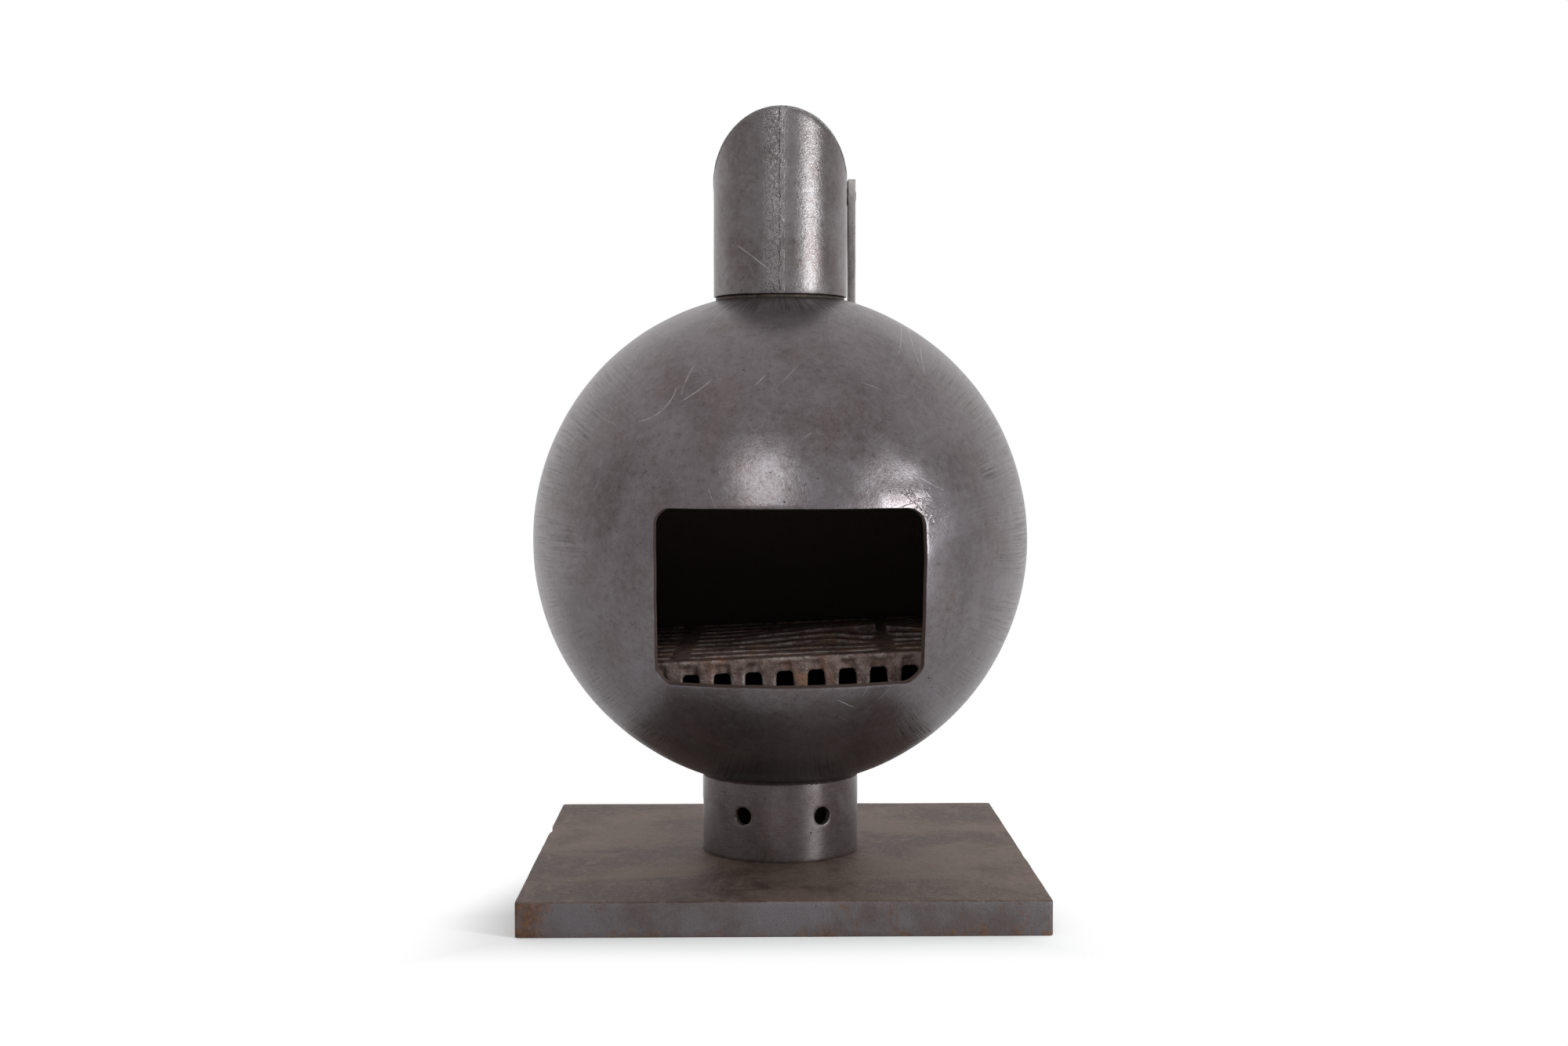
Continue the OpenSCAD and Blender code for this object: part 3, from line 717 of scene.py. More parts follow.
def faceOutwards(bm, centre):
    bmesh.ops.recalc_face_normals(bm, faces=bm.faces[:])
    first = max(bm.faces, key=lambda face: face.calc_area())
    if first.normal.dot(first.calc_center_median() - centre) < 0:
        bmesh.ops.reverse_faces(bm, faces=bm.faces[:])


mouth = {
    "width": 0.307, "height": 0.203,
    "right": 0.0075, "below": 0.053,    # middle of the mouth, from the ball's centre
    # corners: which one, across and up, how far it is cut, and how round: 0.25 is straight
    "corners": [(-1, 1, 0.0165, 0.43), (1, 1, 0.0220, 0.48),
                (-1, -1, 0.0175, 0.40), (1, -1, 0.0205, 0.43)],
    "stepSize": 0.006, "rings": 62,
    "ripple": 0.0005, "softEdge": 0.0009,       # unevenness and rounding of the flame cut
}


def mouthOutline(bm):
    bmesh.ops.create_grid(bm, x_segments=1, y_segments=1, size=0.5)
    bmesh.ops.scale(bm, vec=(mouth["width"], mouth["height"], 1), verts=bm.verts[:])
    for across, up, reach, profile in mouth["corners"]:
        corner = max(bm.verts, key=lambda v: across * v.co.x + up * v.co.y)
        bmesh.ops.bevel(bm, geom=[corner], offset=reach, offset_type="OFFSET", segments=8,
                        profile=profile, affect="VERTICES", material=-1)
    bmesh.ops.delete(bm, geom=bm.faces[:], context="FACES_ONLY")
    for edge in [e for e in bm.edges if e.calc_length() > 2 * mouth["stepSize"]]:
        cuts = ceil(edge.calc_length() / mouth["stepSize"]) - 1
        bmesh.ops.subdivide_edges(bm, edges=[edge], cuts=cuts)
    for v in bm.verts:
        along = Vector((v.co.x, v.co.y, 0))
        shift = mouth["ripple"] * (bumps(along, 0.03, 5) + 0.5 * bumps(along, 0.007, 9))
        x, z = v.co.x + mouth["right"] + shift, v.co.y - mouth["below"] + shift
        v.co = Vector((x, -sqrt(ballRadius ** 2 - x * x - z * z), z)) + ballCentre


# The weld between the two halves, and the collar over the smoke hole
seam = {"half": 0.003, "overlap": 0.0012, "proud": 0.00012, "insideProud": 0.0014, "steps": 360}
collar = {"wall": 0.004, "airHole": 0.040, "chamfer": 0.0006, "ragged": 0.0004}


def sphereHoles():
    # The hole for smoke inside the collar, and the hole for air inside the pedestal
    return [plug(collarHigh.x - collar["wall"], ballCentre.z + 0.1, collarHigh.z),
            plug(collar["airHole"], pedestalLow.z + 0.01, ballCentre.z - 0.1)]


bm = bmesh.new()
mouthOutline(bm)
rimRadius = sqrt(ballRadius ** 2 - seam["half"] ** 2)
rim = bmesh.ops.create_circle(bm, cap_ends=False, radius=rimRadius, segments=len(bm.verts))["verts"]
rimPlace = Matrix.Translation(ballCentre - Vector((0, seam["half"], 0)))
bmesh.ops.transform(bm, verts=rim, matrix=rimPlace @ Matrix.Rotation(pi / 2, 4, "X"))
bridged = bmesh.ops.bridge_loops(bm, edges=bm.edges[:])
across = [e for e in bridged["edges"] if e.calc_length() > 0.05]
bmesh.ops.subdivide_edges(bm, edges=across, cuts=mouth["rings"], use_grid_fill=True)
ontoBall(bm.verts)
faceOutwards(bm, ballCentre)
frontHalf = makeObject("frontHemisphere", bm)
thicken(frontHalf, ballShape["wall"])
cutAway(frontHalf, sphereHoles())
softenEdges(frontHalf, mouth["softEdge"], 3, 40)
markInside(frontHalf, ballDepth)
finishPiece(frontHalf, "hearth", ballSteel, "sphere_steel", ["front_hemisphere"])

bm = bmesh.new()
bmesh.ops.create_cube(bm, size=2)
bmesh.ops.subdivide_edges(bm, edges=bm.edges[:], cuts=47, use_grid_fill=True)
bmesh.ops.translate(bm, vec=ballCentre, verts=bm.verts[:])
for v in bm.verts:
    v.co = ballCentre + (v.co - ballCentre).normalized() * ballRadius
cutPlane(bm, ballCentre + Vector((0, seam["half"], 0)), (0, 1, 0), clear=True)
ontoBall(bm.verts)
faceOutwards(bm, ballCentre)
rearHalf = makeObject("rearHemisphere", bm)
thicken(rearHalf, ballShape["wall"])
cutAway(rearHalf, sphereHoles())
markInside(rearHalf, ballDepth)
finishPiece(rearHalf, "hearth", ballSteel, "sphere_steel", ["rear_hemisphere"])

half = seam["half"] + seam["overlap"]
outer, inner = ballRadius + seam["proud"], ballRadius - ballShape["wall"]
bead = inner - seam["insideProud"]
bm = spunShape([
    (outer - 0.0006, -half), (outer, -half * 0.5), (outer, half * 0.5), (outer - 0.0006, half),
    (inner, half), (bead, half * 0.4), (bead, -half * 0.4), (inner, -half)],
    seam["steps"], "Y", ballCentre)
for v in bm.verts:
    flat = outward(v.co - ballCentre, 1)
    ragged = bumps(v.co, 0.012, 4) * 0.0009 + bumps(v.co, 0.004, 6) * 0.0004
    v.co += flat * ballSwell(flat) + Vector((0, ragged, 0))
seamBand = makeObject("sphereSeam", bm)
cutAway(seamBand, sphereHoles())
markInside(seamBand, lambda place: ballDepth(place) * 0.99 - 0.05)
finishPiece(seamBand, "hearth", ballSteel, "ground_weld", ["sphere_seam_weld"], 50)
print("ball made")


# Pedestal with its ring of air holes
pedestal = {
    "wall": 0.008, "holeRadius": 0.011, "holeHeight": 0.0545, "holeCount": 6,
    "holeTurn": radians(1.1), "holeSteps": 56, "rings": 9, "ripple": 0.00025, "softEdge": 0.0006,
}
sector = tau / pedestal["holeCount"]
sectorWidth = sector * pedestalRadius
pedestalRise = pedestalHigh.z - pedestalLow.z
bm = bmesh.new()
bmesh.ops.create_circle(bm, radius=pedestal["holeRadius"], segments=pedestal["holeSteps"])
square = bmesh.ops.create_grid(bm, x_segments=1, y_segments=1, size=0.5)["verts"]
bmesh.ops.scale(bm, vec=(sectorWidth, pedestalRise, 1), verts=square)
bmesh.ops.translate(bm, vec=(0, pedestalRise / 2 - pedestal["holeHeight"], 0), verts=square)
bmesh.ops.delete(bm, geom=bm.faces[:], context="FACES_ONLY")
sides = [e for e in bm.edges if e.calc_length() > 0.05]
bmesh.ops.subdivide_edges(bm, edges=sides, cuts=pedestal["holeSteps"] // 4 - 1)
spokes = bmesh.ops.bridge_loops(bm, edges=bm.edges[:])["edges"]
spokes = [e for e in spokes if abs(e.verts[0].co.length - e.verts[1].co.length) > 0.015]
bmesh.ops.subdivide_edges(bm, edges=spokes, cuts=pedestal["rings"], use_grid_fill=True)
for count in range(1, pedestal["holeCount"]):
    first = [f for f in bm.faces if abs(f.calc_center_median().x) < sectorWidth / 2]
    copied = bmesh.ops.duplicate(bm, geom=first)["geom"]
    bmesh.ops.translate(bm, vec=(count * sectorWidth, 0, 0),
                        verts=[g for g in copied if isinstance(g, bmesh.types.BMVert)])
for v in bm.verts:
    angle = v.co.x / pedestalRadius + pedestal["holeTurn"] - pi / 2 + sector / 2
    height = pedestalLow.z + pedestal["holeHeight"] + v.co.y
    v.co = Vector((pedestalRadius * cos(angle), pedestalRadius * sin(angle), height))
bmesh.ops.remove_doubles(bm, verts=bm.verts[:], dist=1e-5)
faceOutwards(bm, Vector((0, 0, pedestalLow.z)))
pedestalTube = makeObject("pedestalTube", bm)
thicken(pedestalTube, pedestal["wall"])
insideRadius = pedestalRadius - pedestal["wall"]
insideTop = ballCentre.z - sqrt(ballRadius ** 2 - insideRadius ** 2)
for v in pedestalTube.data.vertices:
    reach, angle = hypot(v.co.x, v.co.y), atan2(v.co.y, v.co.x)
    if reach < pedestalRadius - pedestal["wall"] / 2:
        # the holes are drilled straight, so they keep their width in the inner face
        middle = pedestal["holeTurn"] - pi / 2 + sector / 2
        local = (angle - middle + sector / 2) % sector - sector / 2
        straight = asin(sin(local) * pedestalRadius / insideRadius)
        angle += (straight - local) * (1 - (2 * local / sector) ** 2)
        if v.co.z > insideTop:
            v.co.z = insideTop
    uneven = pedestal["ripple"] * bumps(v.co, 0.05, 2)
    v.co.x, v.co.y = (reach + uneven) * cos(angle), (reach + uneven) * sin(angle)
softenEdges(pedestalTube, pedestal["softEdge"], 2, 45)
# on the pedestal the dark inner-face colour is painted shade, not soot
markInside(pedestalTube, tubeDepth(pedestalRadius, pedestal["wall"]))
finishPiece(pedestalTube, "hearth", pedestalSteel, "pedestal_steel", ["pedestal_tube"])


# Weld beads: a spun outline whose skin is pushed in and out along the weld. A bead's skin says
# the steps round it, how far its ripples stand out, and how far apart they lie.
beadSkins = {"neck": (420, 0.0003, 0.006), "foot": (300, 0.0005, 0.007),
             "seat": (360, 0.00035, 0.006), "spigot": (380, 0.0004, 0.0055)}


def weldBead(name, outline, skin, body, nodes, finish, axis="Z", place=(0, 0, 0)):
    steps, ripple, pitch = beadSkins[skin]
    bm = spunShape(outline, steps, axis, place)
    middle = sum((v.co for v in bm.verts), Vector()) / len(bm.verts)
    axisVector = {"X": Vector((1, 0, 0)), "Y": Vector((0, 1, 0)), "Z": Vector((0, 0, 1))}[axis]
    bm.normal_update()
    for v in bm.verts:
        away = v.co - middle
        away -= axisVector * away.dot(axisVector)
        side = axisVector.orthogonal()
        turn = atan2(away.dot(axisVector.cross(side)), away.dot(side))
        wave = abs(sin(turn * away.length / pitch * pi + bumps(v.co, 0.03, 1) * 2))
        v.co += v.normal * ripple * (wave - 0.5 + bumps(v.co, 0.006, 7))
    return addPiece(name, bm, body, finish, "weld_metal", nodes, 60)


def filletOutline(corner, across, up, bulge=0.35):
    # Section of a bead in a corner: from the corner along two legs, with a bulged face
    start, end = Vector(across), Vector(up)
    middle = (start + end) / 2 + ((start + end) / 2 - Vector(corner)) * bulge
    points = [Vector(corner), start]
    for k in range(1, 6):
        t = k / 6
        points.append(start * (1 - t) ** 2 + middle * 2 * t * (1 - t) + end * t * t)
    return [tuple(p) for p in points + [end]]


neck = {"leg": 0.0034, "sink": 0.0012}
neckOuter = pedestalRadius + neck["leg"]
weldBead("neckWeld", filletOutline(
    (pedestalRadius - neck["sink"], pedestalHigh.z + neck["sink"]),
    (pedestalRadius - neck["sink"] * 0.3, pedestalHigh.z - neck["leg"]),
    (neckOuter, ballCentre.z - sqrt(ballRadius ** 2 - neckOuter ** 2) + neck["sink"] * 0.3), -0.3),
    "neck", "hearth", ["pedestal_neck_weld"], pedestalSteel)
footLow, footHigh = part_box("pedestal_foot_weld")
footLeg = footHigh.z - footLow.z
weldBead("footWeld", filletOutline(
    (footHigh.x + 0.0005, footLow.z - 0.0005), (footHigh.x - footLeg, footLow.z),
    (footHigh.x, footHigh.z)), "foot", "hearth", ["pedestal_foot_weld"], rawWeld)
seatLow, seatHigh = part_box("collar_seat_weld")
weldBead("collarSeatWeld", [
    (collarHigh.x - 0.001, seatLow.z - 0.001), (seatHigh.x, seatLow.z - 0.0004),
    (seatHigh.x + 0.0002, seatHigh.z - 0.0016), (seatHigh.x - 0.0007, seatHigh.z - 0.0002),
    (collarHigh.x - 0.001, seatHigh.z)], "seat", "hearth", ["collar_seat_weld"], rawWeld)
print("pedestal and welds made")


# Slab
slab = {
    "cornerRadius": 0.0045, "edgeRadius": 0.0015, "step": 0.015, "layers": 5,
    "ripple": 0.00035, "edgeRipple": 0.0006,
    # where the torch bit into the sides: x and y, half length, depth
    "nicks": [(-0.300, 0.108, 0.010, 0.0030), (-0.300, 0.122, 0.006, 0.0016),
              (0.300, -0.06, 0.012, 0.0010)],
}
bm = cubeBetween(slabLow, slabHigh)
roundEdges(bm, 2, True, slab["cornerRadius"], 6)
roundEdges(bm, 2, False, slab["edgeRadius"], 3)
cuts = ceil(slabHigh.x * 2 / slab["step"])
for count in range(1, cuts):
    place = slabLow.x + count * (slabHigh.x - slabLow.x) / cuts
    cutPlane(bm, (place, 0, 0), (1, 0, 0))
    cutPlane(bm, (0, place, 0), (0, 1, 0))
for count in range(1, slab["layers"]):
    cutPlane(bm, (0, 0, slabHigh.z * count / slab["layers"]), (0, 0, 1))
for v in bm.verts:
    edgeShare = max(abs(v.co.x), abs(v.co.y)) / slabHigh.x
    inward = -outward(v.co)
    if edgeShare > 0.985:
        rough = slab["edgeRipple"] * (bumps(v.co, 0.05, 1) + 0.7 * bumps(v.co, 0.013, 5))
        v.co += inward * (slab["edgeRipple"] * 0.6 + rough * 0.6)
        for x, y, length, depth in slab["nicks"]:
            if abs(v.co.x - x) < 0.01:
                v.co += inward * depth * exp(-((v.co.y - y) / length) ** 2)
    if v.co.z > slabHigh.z / 2:
        v.co.z += slab["ripple"] * (bumps(v.co, 0.11, 3) - 0.6)
slabPiece = makeObject("baseSlab", bm)
finishPiece(slabPiece, "hearth", slabPlate, "slab_steel", ["base_slab"], 50)
print("slab made")


# Flue: a mitred tube, its far end at -length, cut at 45 degrees at the top. The riser stands
# as it is made, and the level leg is its mirror image in the mitre plane.
flue = {"wall": 0.005, "steps": 160, "ringStep": 0.006, "ripple": 0.00030,
        "raggedEnd": 0.00045, "softEdge": 0.0007}


def mitredTube(length):
    rings = int(length / flue["ringStep"])
    rise = [length * (k / rings - 1) for k in range(rings + 1)]
    inner = flueRadius - flue["wall"]
    outline = [(flueRadius, z) for z in rise] + [(inner, z) for z in reversed(rise)]
    bm = spunShape(outline, flue["steps"])
    for v in bm.verts:
        v.co.z += (v.co.z + length) * -v.co.y / length
    return bm


def roughenTube(bm, seed, endPlane):
    for v in bm.verts:
        swell = bumps(v.co, 0.06, seed) + 0.5 * bumps(v.co, 0.02, seed + 2)
        clear = min(1, max(0, -(v.co.y + v.co.z) / 0.01))       # nothing at the mitre itself
        v.co += outward(v.co) * flue["ripple"] * clear * swell
        if v.co.z < endPlane + 1e-4:
            v.co.z += flue["raggedEnd"] * (bumps(v.co, 0.02, seed) + 0.5)


riserLength = flueHeight - riserLow.z
bm = mitredTube(riserLength)
roughenTube(bm, 1.0, -riserLength)
bmesh.ops.translate(bm, vec=mitrePlace, verts=bm.verts[:])
riser = makeObject("flueRiser", bm)
softenEdges(riser, flue["softEdge"])
markInside(riser, tubeDepth(flueRadius, flue["wall"]))
finishPiece(riser, "flue_elbow", pipeSteel, "pipe_steel", ["flue_riser"], 40)

legLength = legHigh.y
bm = mitredTube(legLength)
roughenTube(bm, 6.0, -legLength)
mirrored = Matrix(((1, 0, 0, 0), (0, 0, -1, 0), (0, -1, 0, 0), (0, 0, 0, 1)))
bmesh.ops.transform(bm, matrix=mirrored, verts=bm.verts[:])
bmesh.ops.recalc_face_normals(bm, faces=bm.faces[:])
bmesh.ops.translate(bm, vec=mitrePlace, verts=bm.verts[:])
leg = makeObject("flueLevelLeg", bm)
bushRightLow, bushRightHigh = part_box("damper_bush_right")
bushLeftLow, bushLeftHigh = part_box("damper_bush_left")
bushRadius = (bushRightHigh.y - bushRightLow.y) / 2
cutAway(leg, [plug(bushRadius, -flueRadius * 1.2, flueRadius * 1.2, "X", spindlePlace, 64)])
softenEdges(leg, flue["softEdge"])
markInside(leg, tubeDepth(flueRadius, flue["wall"], 1, mitrePlace))
finishPiece(leg, "flue_elbow", pipeSteel, "pipe_steel", ["flue_level_leg"], 40)

# The ring weld at the mitre, spun flat and then sheared onto the cut
mitre = {"radius": 0.0023, "sink": 0.0018, "steps": 360, "ripple": 0.00022}
middle = flueRadius - mitre["sink"]
section = [(middle + mitre["radius"] * cos(k * tau / 12), mitre["radius"] * sin(k * tau / 12))
           for k in range(12)]
bm = spunShape(section, mitre["steps"])
for v in bm.verts:
    v.co += outward(v.co) * mitre["ripple"] * (bumps(v.co, 0.009, 3) + bumps(v.co, 0.03, 5))
    v.co.z -= v.co.y
bmesh.ops.translate(bm, vec=mitrePlace, verts=bm.verts[:])
addPiece("mitreWeld", bm, "flue_elbow", groundWeld, "ground_weld", ["mitre_weld"], 60)


# The pipe's own lengthwise seam: a ragged raised bead with a sunk left edge
pipeSeam = {"halfWidth": 0.0024, "right": 0.0016, "proud": 0.0004, "sunk": 0.0009, "deep": 0.0016,
            "sway": 0.0009, "columns": 12, "rowStep": 0.0011}


def seamBead(low, high, seed):
    rows = int((high - low) / pipeSeam["rowStep"])
    bm = bmesh.new()
    bmesh.ops.create_grid(bm, x_segments=pipeSeam["columns"], y_segments=rows, size=0.5)
    bmesh.ops.recalc_face_normals(bm, faces=bm.faces[:])
    for v in bm.verts:
        across, height = 2 * v.co.x, low + (v.co.y + 0.5) * (high - low)
        level = (0, 0, height)
        sway = pipeSeam["sway"] * bumps(level, 0.045, seed) + 0.0003 * bumps(level, 0.01, seed)
        uneven = 0.75 + 0.6 * bumps((across * 0.004, 0, height), 0.007, seed)
        crown = pipeSeam["proud"] * (1 - across ** 4) * uneven
        sunk = pipeSeam["sunk"] * exp(-((across + 0.75) / 0.2) ** 2)
        crown -= sunk * (0.6 + bumps(level, 0.012, seed + 4))
        if abs(across) > 0.95:
            crown -= 0.0006     # the outer rows dip into the pipe
        reach = flueRadius + crown
        angle = (pipeSeam["right"] + across * pipeSeam["halfWidth"] + sway) / flueRadius
        v.co = Vector((reach * sin(angle), -reach * cos(angle), height))
    faceOutwards(bm, Vector((0, 0, (low + high) / 2)))
    return bm


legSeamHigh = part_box("leg_seam_weld")[1]
for name, low, high, seed, turn, nodes in (
        ("riserSeam", -riserLength + 0.0006, flueRadius - 0.002, 2.0, 0, ["riser_seam_weld"]),
        ("legSeam", -legSeamHigh.y, -flueRadius - 0.003, 12.0, pi / 2, ["leg_seam_weld"])):
    bm = seamBead(low, high, seed)
    place = Matrix.Translation(mitrePlace) @ Matrix.Rotation(turn, 4, "X")
    bmesh.ops.transform(bm, matrix=place, verts=bm.verts[:])
    bead = makeObject(name, bm)
    thicken(bead, pipeSeam["deep"])
    finishPiece(bead, "flue_elbow", pipeSteel, "ground_weld", nodes, 50)

# Collar that stands on the ball, inside the riser. Its dark raw-weld finish is painted shade that
# darkens the gap under the riser's lower edge
collarFoot = ballCentre.z + sqrt(ballRadius ** 2 - collarHigh.x ** 2) - 0.001
bm = spunShape(chamferedRing(collarHigh.x - collar["wall"], collarHigh.x, collarFoot, collarHigh.z,
                             collar["chamfer"]), 160)
for v in bm.verts:
    v.co.z += collar["ragged"] * bumps(v.co, 0.03, 2) * (v.co.z > collarHigh.z - 0.005)
addPiece("flueCollar", bm, "hearth", rawWeld, "weld_metal", ["flue_collar"])

# Spigot at the rear end, its weld, the bushes and everything that turns
spigotLow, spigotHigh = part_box("outlet_spigot")
spigot = {"wall": 0.003, "freeRadius": collarHigh.x, "insideRadius": spigotHigh.x, "soft": 0.0006,
          "ripple": 0.00025}
soft, free, tight = spigot["soft"], spigot["freeRadius"], spigot["insideRadius"]
bore = free - spigot["wall"]
bm = spunShape([
    (bore, spigotLow.y + soft), (bore + soft, spigotLow.y), (tight - soft, spigotLow.y),
    (tight, spigotLow.y + soft), (tight, legHigh.y - soft), (free, legHigh.y + soft),
    (free, spigotHigh.y - 2 * soft), (free - soft, spigotHigh.y), (bore + soft, spigotHigh.y),
    (bore, spigotHigh.y - soft)], 160, "Y", mitrePlace)
for v in bm.verts:
    v.co += outward(v.co - mitrePlace, 1) * spigot["ripple"] * bumps(v.co, 0.05, 3)
spigotPiece = makeObject("outletSpigot", bm)
markInside(spigotPiece, tubeDepth(free, spigot["wall"], 1, mitrePlace))
finishPiece(spigotPiece, "flue_elbow", pipeSteel, "pipe_steel", ["outlet_spigot"])

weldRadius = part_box("spigot_weld")[1].x
weldBead("spigotWeld", [
    (tight - 0.001, legHigh.y - 0.003), (weldRadius, legHigh.y - 0.0012),
    (weldRadius - 0.0006, legHigh.y + 0.0010), (weldRadius - 0.0022, legHigh.y + 0.0016),
    (free - 0.0002, legHigh.y + 0.0012), (free - 0.001, legHigh.y - 0.001)],
    "spigot", "flue_elbow", ["spigot_weld"], rawWeld, "Y", mitrePlace)

spindleLow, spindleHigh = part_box("damper_spindle")
spindleRadius = (spindleHigh.y - spindleLow.y) / 2
spindle = {"runningGap": 0.00008, "chamfer": 0.0008, "bushEndWall": 0.002, "softEdge": 0.0003}
hole, chamfer = spindleRadius + spindle["runningGap"], spindle["chamfer"]


def onSpindle(name, outline, steps, body, finish, slotName, nodes, sharp=38):
    # A piece that is spun round the spindle's axis
    bm = spunShape(outline, steps, "X", spindlePlace)
    return addPiece(name, bm, body, finish, slotName, nodes, sharp)


low, high = bushLeftLow.x, bushLeftHigh.x
endWall = low + spindle["bushEndWall"]      # the left bush is shut at its outer end
closedBush = [
    (0, low + 0.0006), (0.004, low), (bushRadius - chamfer, low), (bushRadius, low + chamfer),
    (bushRadius, high), (hole, high), (hole, endWall), (0, endWall)]
openBush = chamferedRing(hole, bushRadius, bushRightLow.x, bushRightHigh.x, chamfer)
onSpindle("bushRight", openBush, 64, "flue_elbow", barSteel, "damper_steel", ["damper_bush_right"])
onSpindle("bushLeft", closedBush, 64, "flue_elbow", barSteel, "damper_steel", ["damper_bush_left"])

washerLow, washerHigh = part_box("lever_washer")
washer = chamferedRing(hole, (washerHigh.y - washerLow.y) / 2, washerLow.x, washerHigh.x, 0.0003)
onSpindle("leverWasher", washer, 64, "damper", fastenerSteel, "bright_steel", ["lever_washer"])

plateLow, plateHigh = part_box("damper_plate")
plate = {"chamfer": 0.0005, "steps": 128, "rimFrom": 0.9, "rimSwell": 0.004, "rimRipple": 0.0003}
outline = chamferedRing(0, spindleRadius, spindleLow.x, spindleHigh.x, chamfer, False)
spindlePiece = makeObject("damperSpindle", spunShape(outline, 48, "X", spindlePlace))
flatEnd = Vector((plateHigh.x + 0.0006, spindlePlace.y, plateLow.z))
flatEnd += Vector((0, 2 * spindleRadius, 2 * spindleRadius))
flatStart = Vector((-flatEnd.x, spindlePlace.y - 2 * spindleRadius, plateLow.z))
cutAway(spindlePiece, [cubeBetween(flatStart, flatEnd)])      # the flat that the plate lies on
softenEdges(spindlePiece, spindle["softEdge"], 2, 40)
finishPiece(spindlePiece, "damper", fastenerSteel, "bright_steel", ["damper_spindle"])

plateRadius = (plateHigh.x - plateLow.x) / 2
outline = chamferedRing(0, plateRadius, plateLow.z, plateHigh.z, plate["chamfer"], False)
bm = spunShape(outline, plate["steps"], "Z", (0, spindlePlace.y, 0))
for v in bm.verts:
    if hypot(v.co.x, v.co.y - spindlePlace.y) > plate["rimFrom"] * plateRadius:
        v.co.x *= 1 + plate["rimSwell"] * (bumps(v.co, 0.02, 3) - 0.4)
        v.co.y += plate["rimRipple"] * bumps(v.co, 0.02, 5)
addPiece("damperPlate", bm, "damper", rawWeld, "damper_steel", ["damper_plate"])

leverLow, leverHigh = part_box("damper_lever")
lever = {"cornerRadius": 0.002, "edgeRadius": 0.0009, "cuts": 26, "ripple": 0.00025,
         "plugProud": 0.0013}
bm = cubeBetween(leverLow, leverHigh)
roundEdges(bm, 0, True, lever["cornerRadius"], 4)
roundEdges(bm, 0, False, lever["edgeRadius"], 3)
for count in range(1, lever["cuts"]):
    height = leverLow.z + count * (leverHigh.z - leverLow.z) / lever["cuts"]
    cutPlane(bm, (0, 0, height), (0, 0, 1))
for v in bm.verts:
    v.co += lever["ripple"] * Vector((bumps(v.co, 0.03, 1) * 0.4, bumps(v.co, 0.02, 4), 0))
addPiece("damperLever", bm, "damper", barSteel, "damper_steel", ["damper_lever"], 50)

plugLow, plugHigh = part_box("lever_plug_weld")
plugRadius, face, proud = (plugHigh.y - plugLow.y) / 2, leverHigh.x, lever["plugProud"]
dome = [(0, face - 0.001), (plugRadius, face - 0.001), (plugRadius, face),
        (plugRadius * 0.85, face + 0.0007), (plugRadius * 0.5, face + 0.0012),
        (plugRadius * 0.2, face + proud), (0, face + proud)]
bm = spunShape(dome, 48, "X", spindlePlace)
for v in bm.verts:
    v.co.x += 0.0004 * bumps(v.co, 0.004, 2)
addPiece("leverPlugWeld", bm, "damper", rawWeld, "weld_metal", ["lever_plug_weld"], 60)


# Bolts and nuts of the plate
def hexagonBar(flats, low, high, chamfer):
    bm = bmesh.new()
    corner = flats / sqrt(3)
    bmesh.ops.create_cone(bm, cap_ends=True, segments=6, radius1=corner, radius2=corner,
                          depth=high - low)
    bmesh.ops.translate(bm, vec=(0, 0, (low + high) / 2), verts=bm.verts[:])
    roundEdges(bm, 2, False, chamfer, 2)
    return bm


def joined(parts, places):
    # One bmesh with every part at every place
    whole = bmesh.new()
    for part in parts:
        mesh = bpy.data.meshes.new("part")
        part.to_mesh(mesh)
        part.free()
        for place in places:
            before = len(whole.verts)
            whole.from_mesh(mesh)
            bmesh.ops.translate(whole, vec=place, verts=whole.verts[before:])
        bpy.data.meshes.remove(mesh)
    return whole


boltLow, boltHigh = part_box("plate_bolts")
nutLow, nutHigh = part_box("plate_nuts")
fastener = {"flats": boltHigh.y - boltLow.y, "threadRadius": 0.0025, "chamfer": 0.0004}
flats, chamfer = fastener["flats"], fastener["chamfer"]
boltX = (boltHigh.x - boltLow.x) / 2 - flats / sqrt(3)
places = [(-boltX, spindlePlace.y, 0), (boltX, spindlePlace.y, 0)]
bolts = joined([hexagonBar(flats, plateHigh.z, boltHigh.z, chamfer),
                plug(fastener["threadRadius"], boltLow.z, plateHigh.z, steps=24)], places)
addPiece("plateBolts", bolts, "damper", fastenerSteel, "bright_steel", ["plate_bolts"])
nuts = joined([hexagonBar(flats, nutLow.z, nutHigh.z, chamfer)], places)
addPiece("plateNuts", nuts, "damper", fastenerSteel, "bright_steel", ["plate_nuts"])
print("flue and damper made")


# Grate, made flat round the ball's centre and then tilted as it lies in the ball
grate = {
    "tilt": Euler((radians(1.5), radians(-2.7), radians(-1.5))),
    "plateThick": 0.017, "toothCount": 10, "toothPitch": 0.0365, "toothRoot": 0.0185,
    "toothFoot": 0.015, "toothThick": 0.012, "panelSink": 0.003, "lip": 0.005,
    "slots": 9, "rim": 0.022, "sideRim": 0.006, "sideSlot": 0.042, "web": 0.020,
    "slotTop": 0.013, "slotFoot": 0.020, "overlap": 0.004, "barSway": 0.0010, "voxel": 0.0020,
    "chip": 0.0022, "grit": 0.0003, "fineGrit": 0.0002,     # roughness of the casting's skin
    # how far the heat has lifted each middle bar, front to back: at the hump's share of its
    # length, and at its right end
    "humpShare": 0.75,
    "barLifts": [(0, 0), (0, 0), (0.0040, -0.0012), (0.0060, 0.0012), (0.0088, 0.0100),
                 (0.0070, 0.0062), (0.0030, 0.0030), (0, 0)],
}
tilt = grate["tilt"].to_matrix().to_4x4()
grateMesh = frame["nodes"]["fire_grate"].data
flatGrate = [tilt.inverted() @ (v.co - ballCentre) for v in grateMesh.vertices]
grateHalfWidth = max(p.x for p in flatGrate)
grateHalfDepth = max(p.y for p in flatGrate)
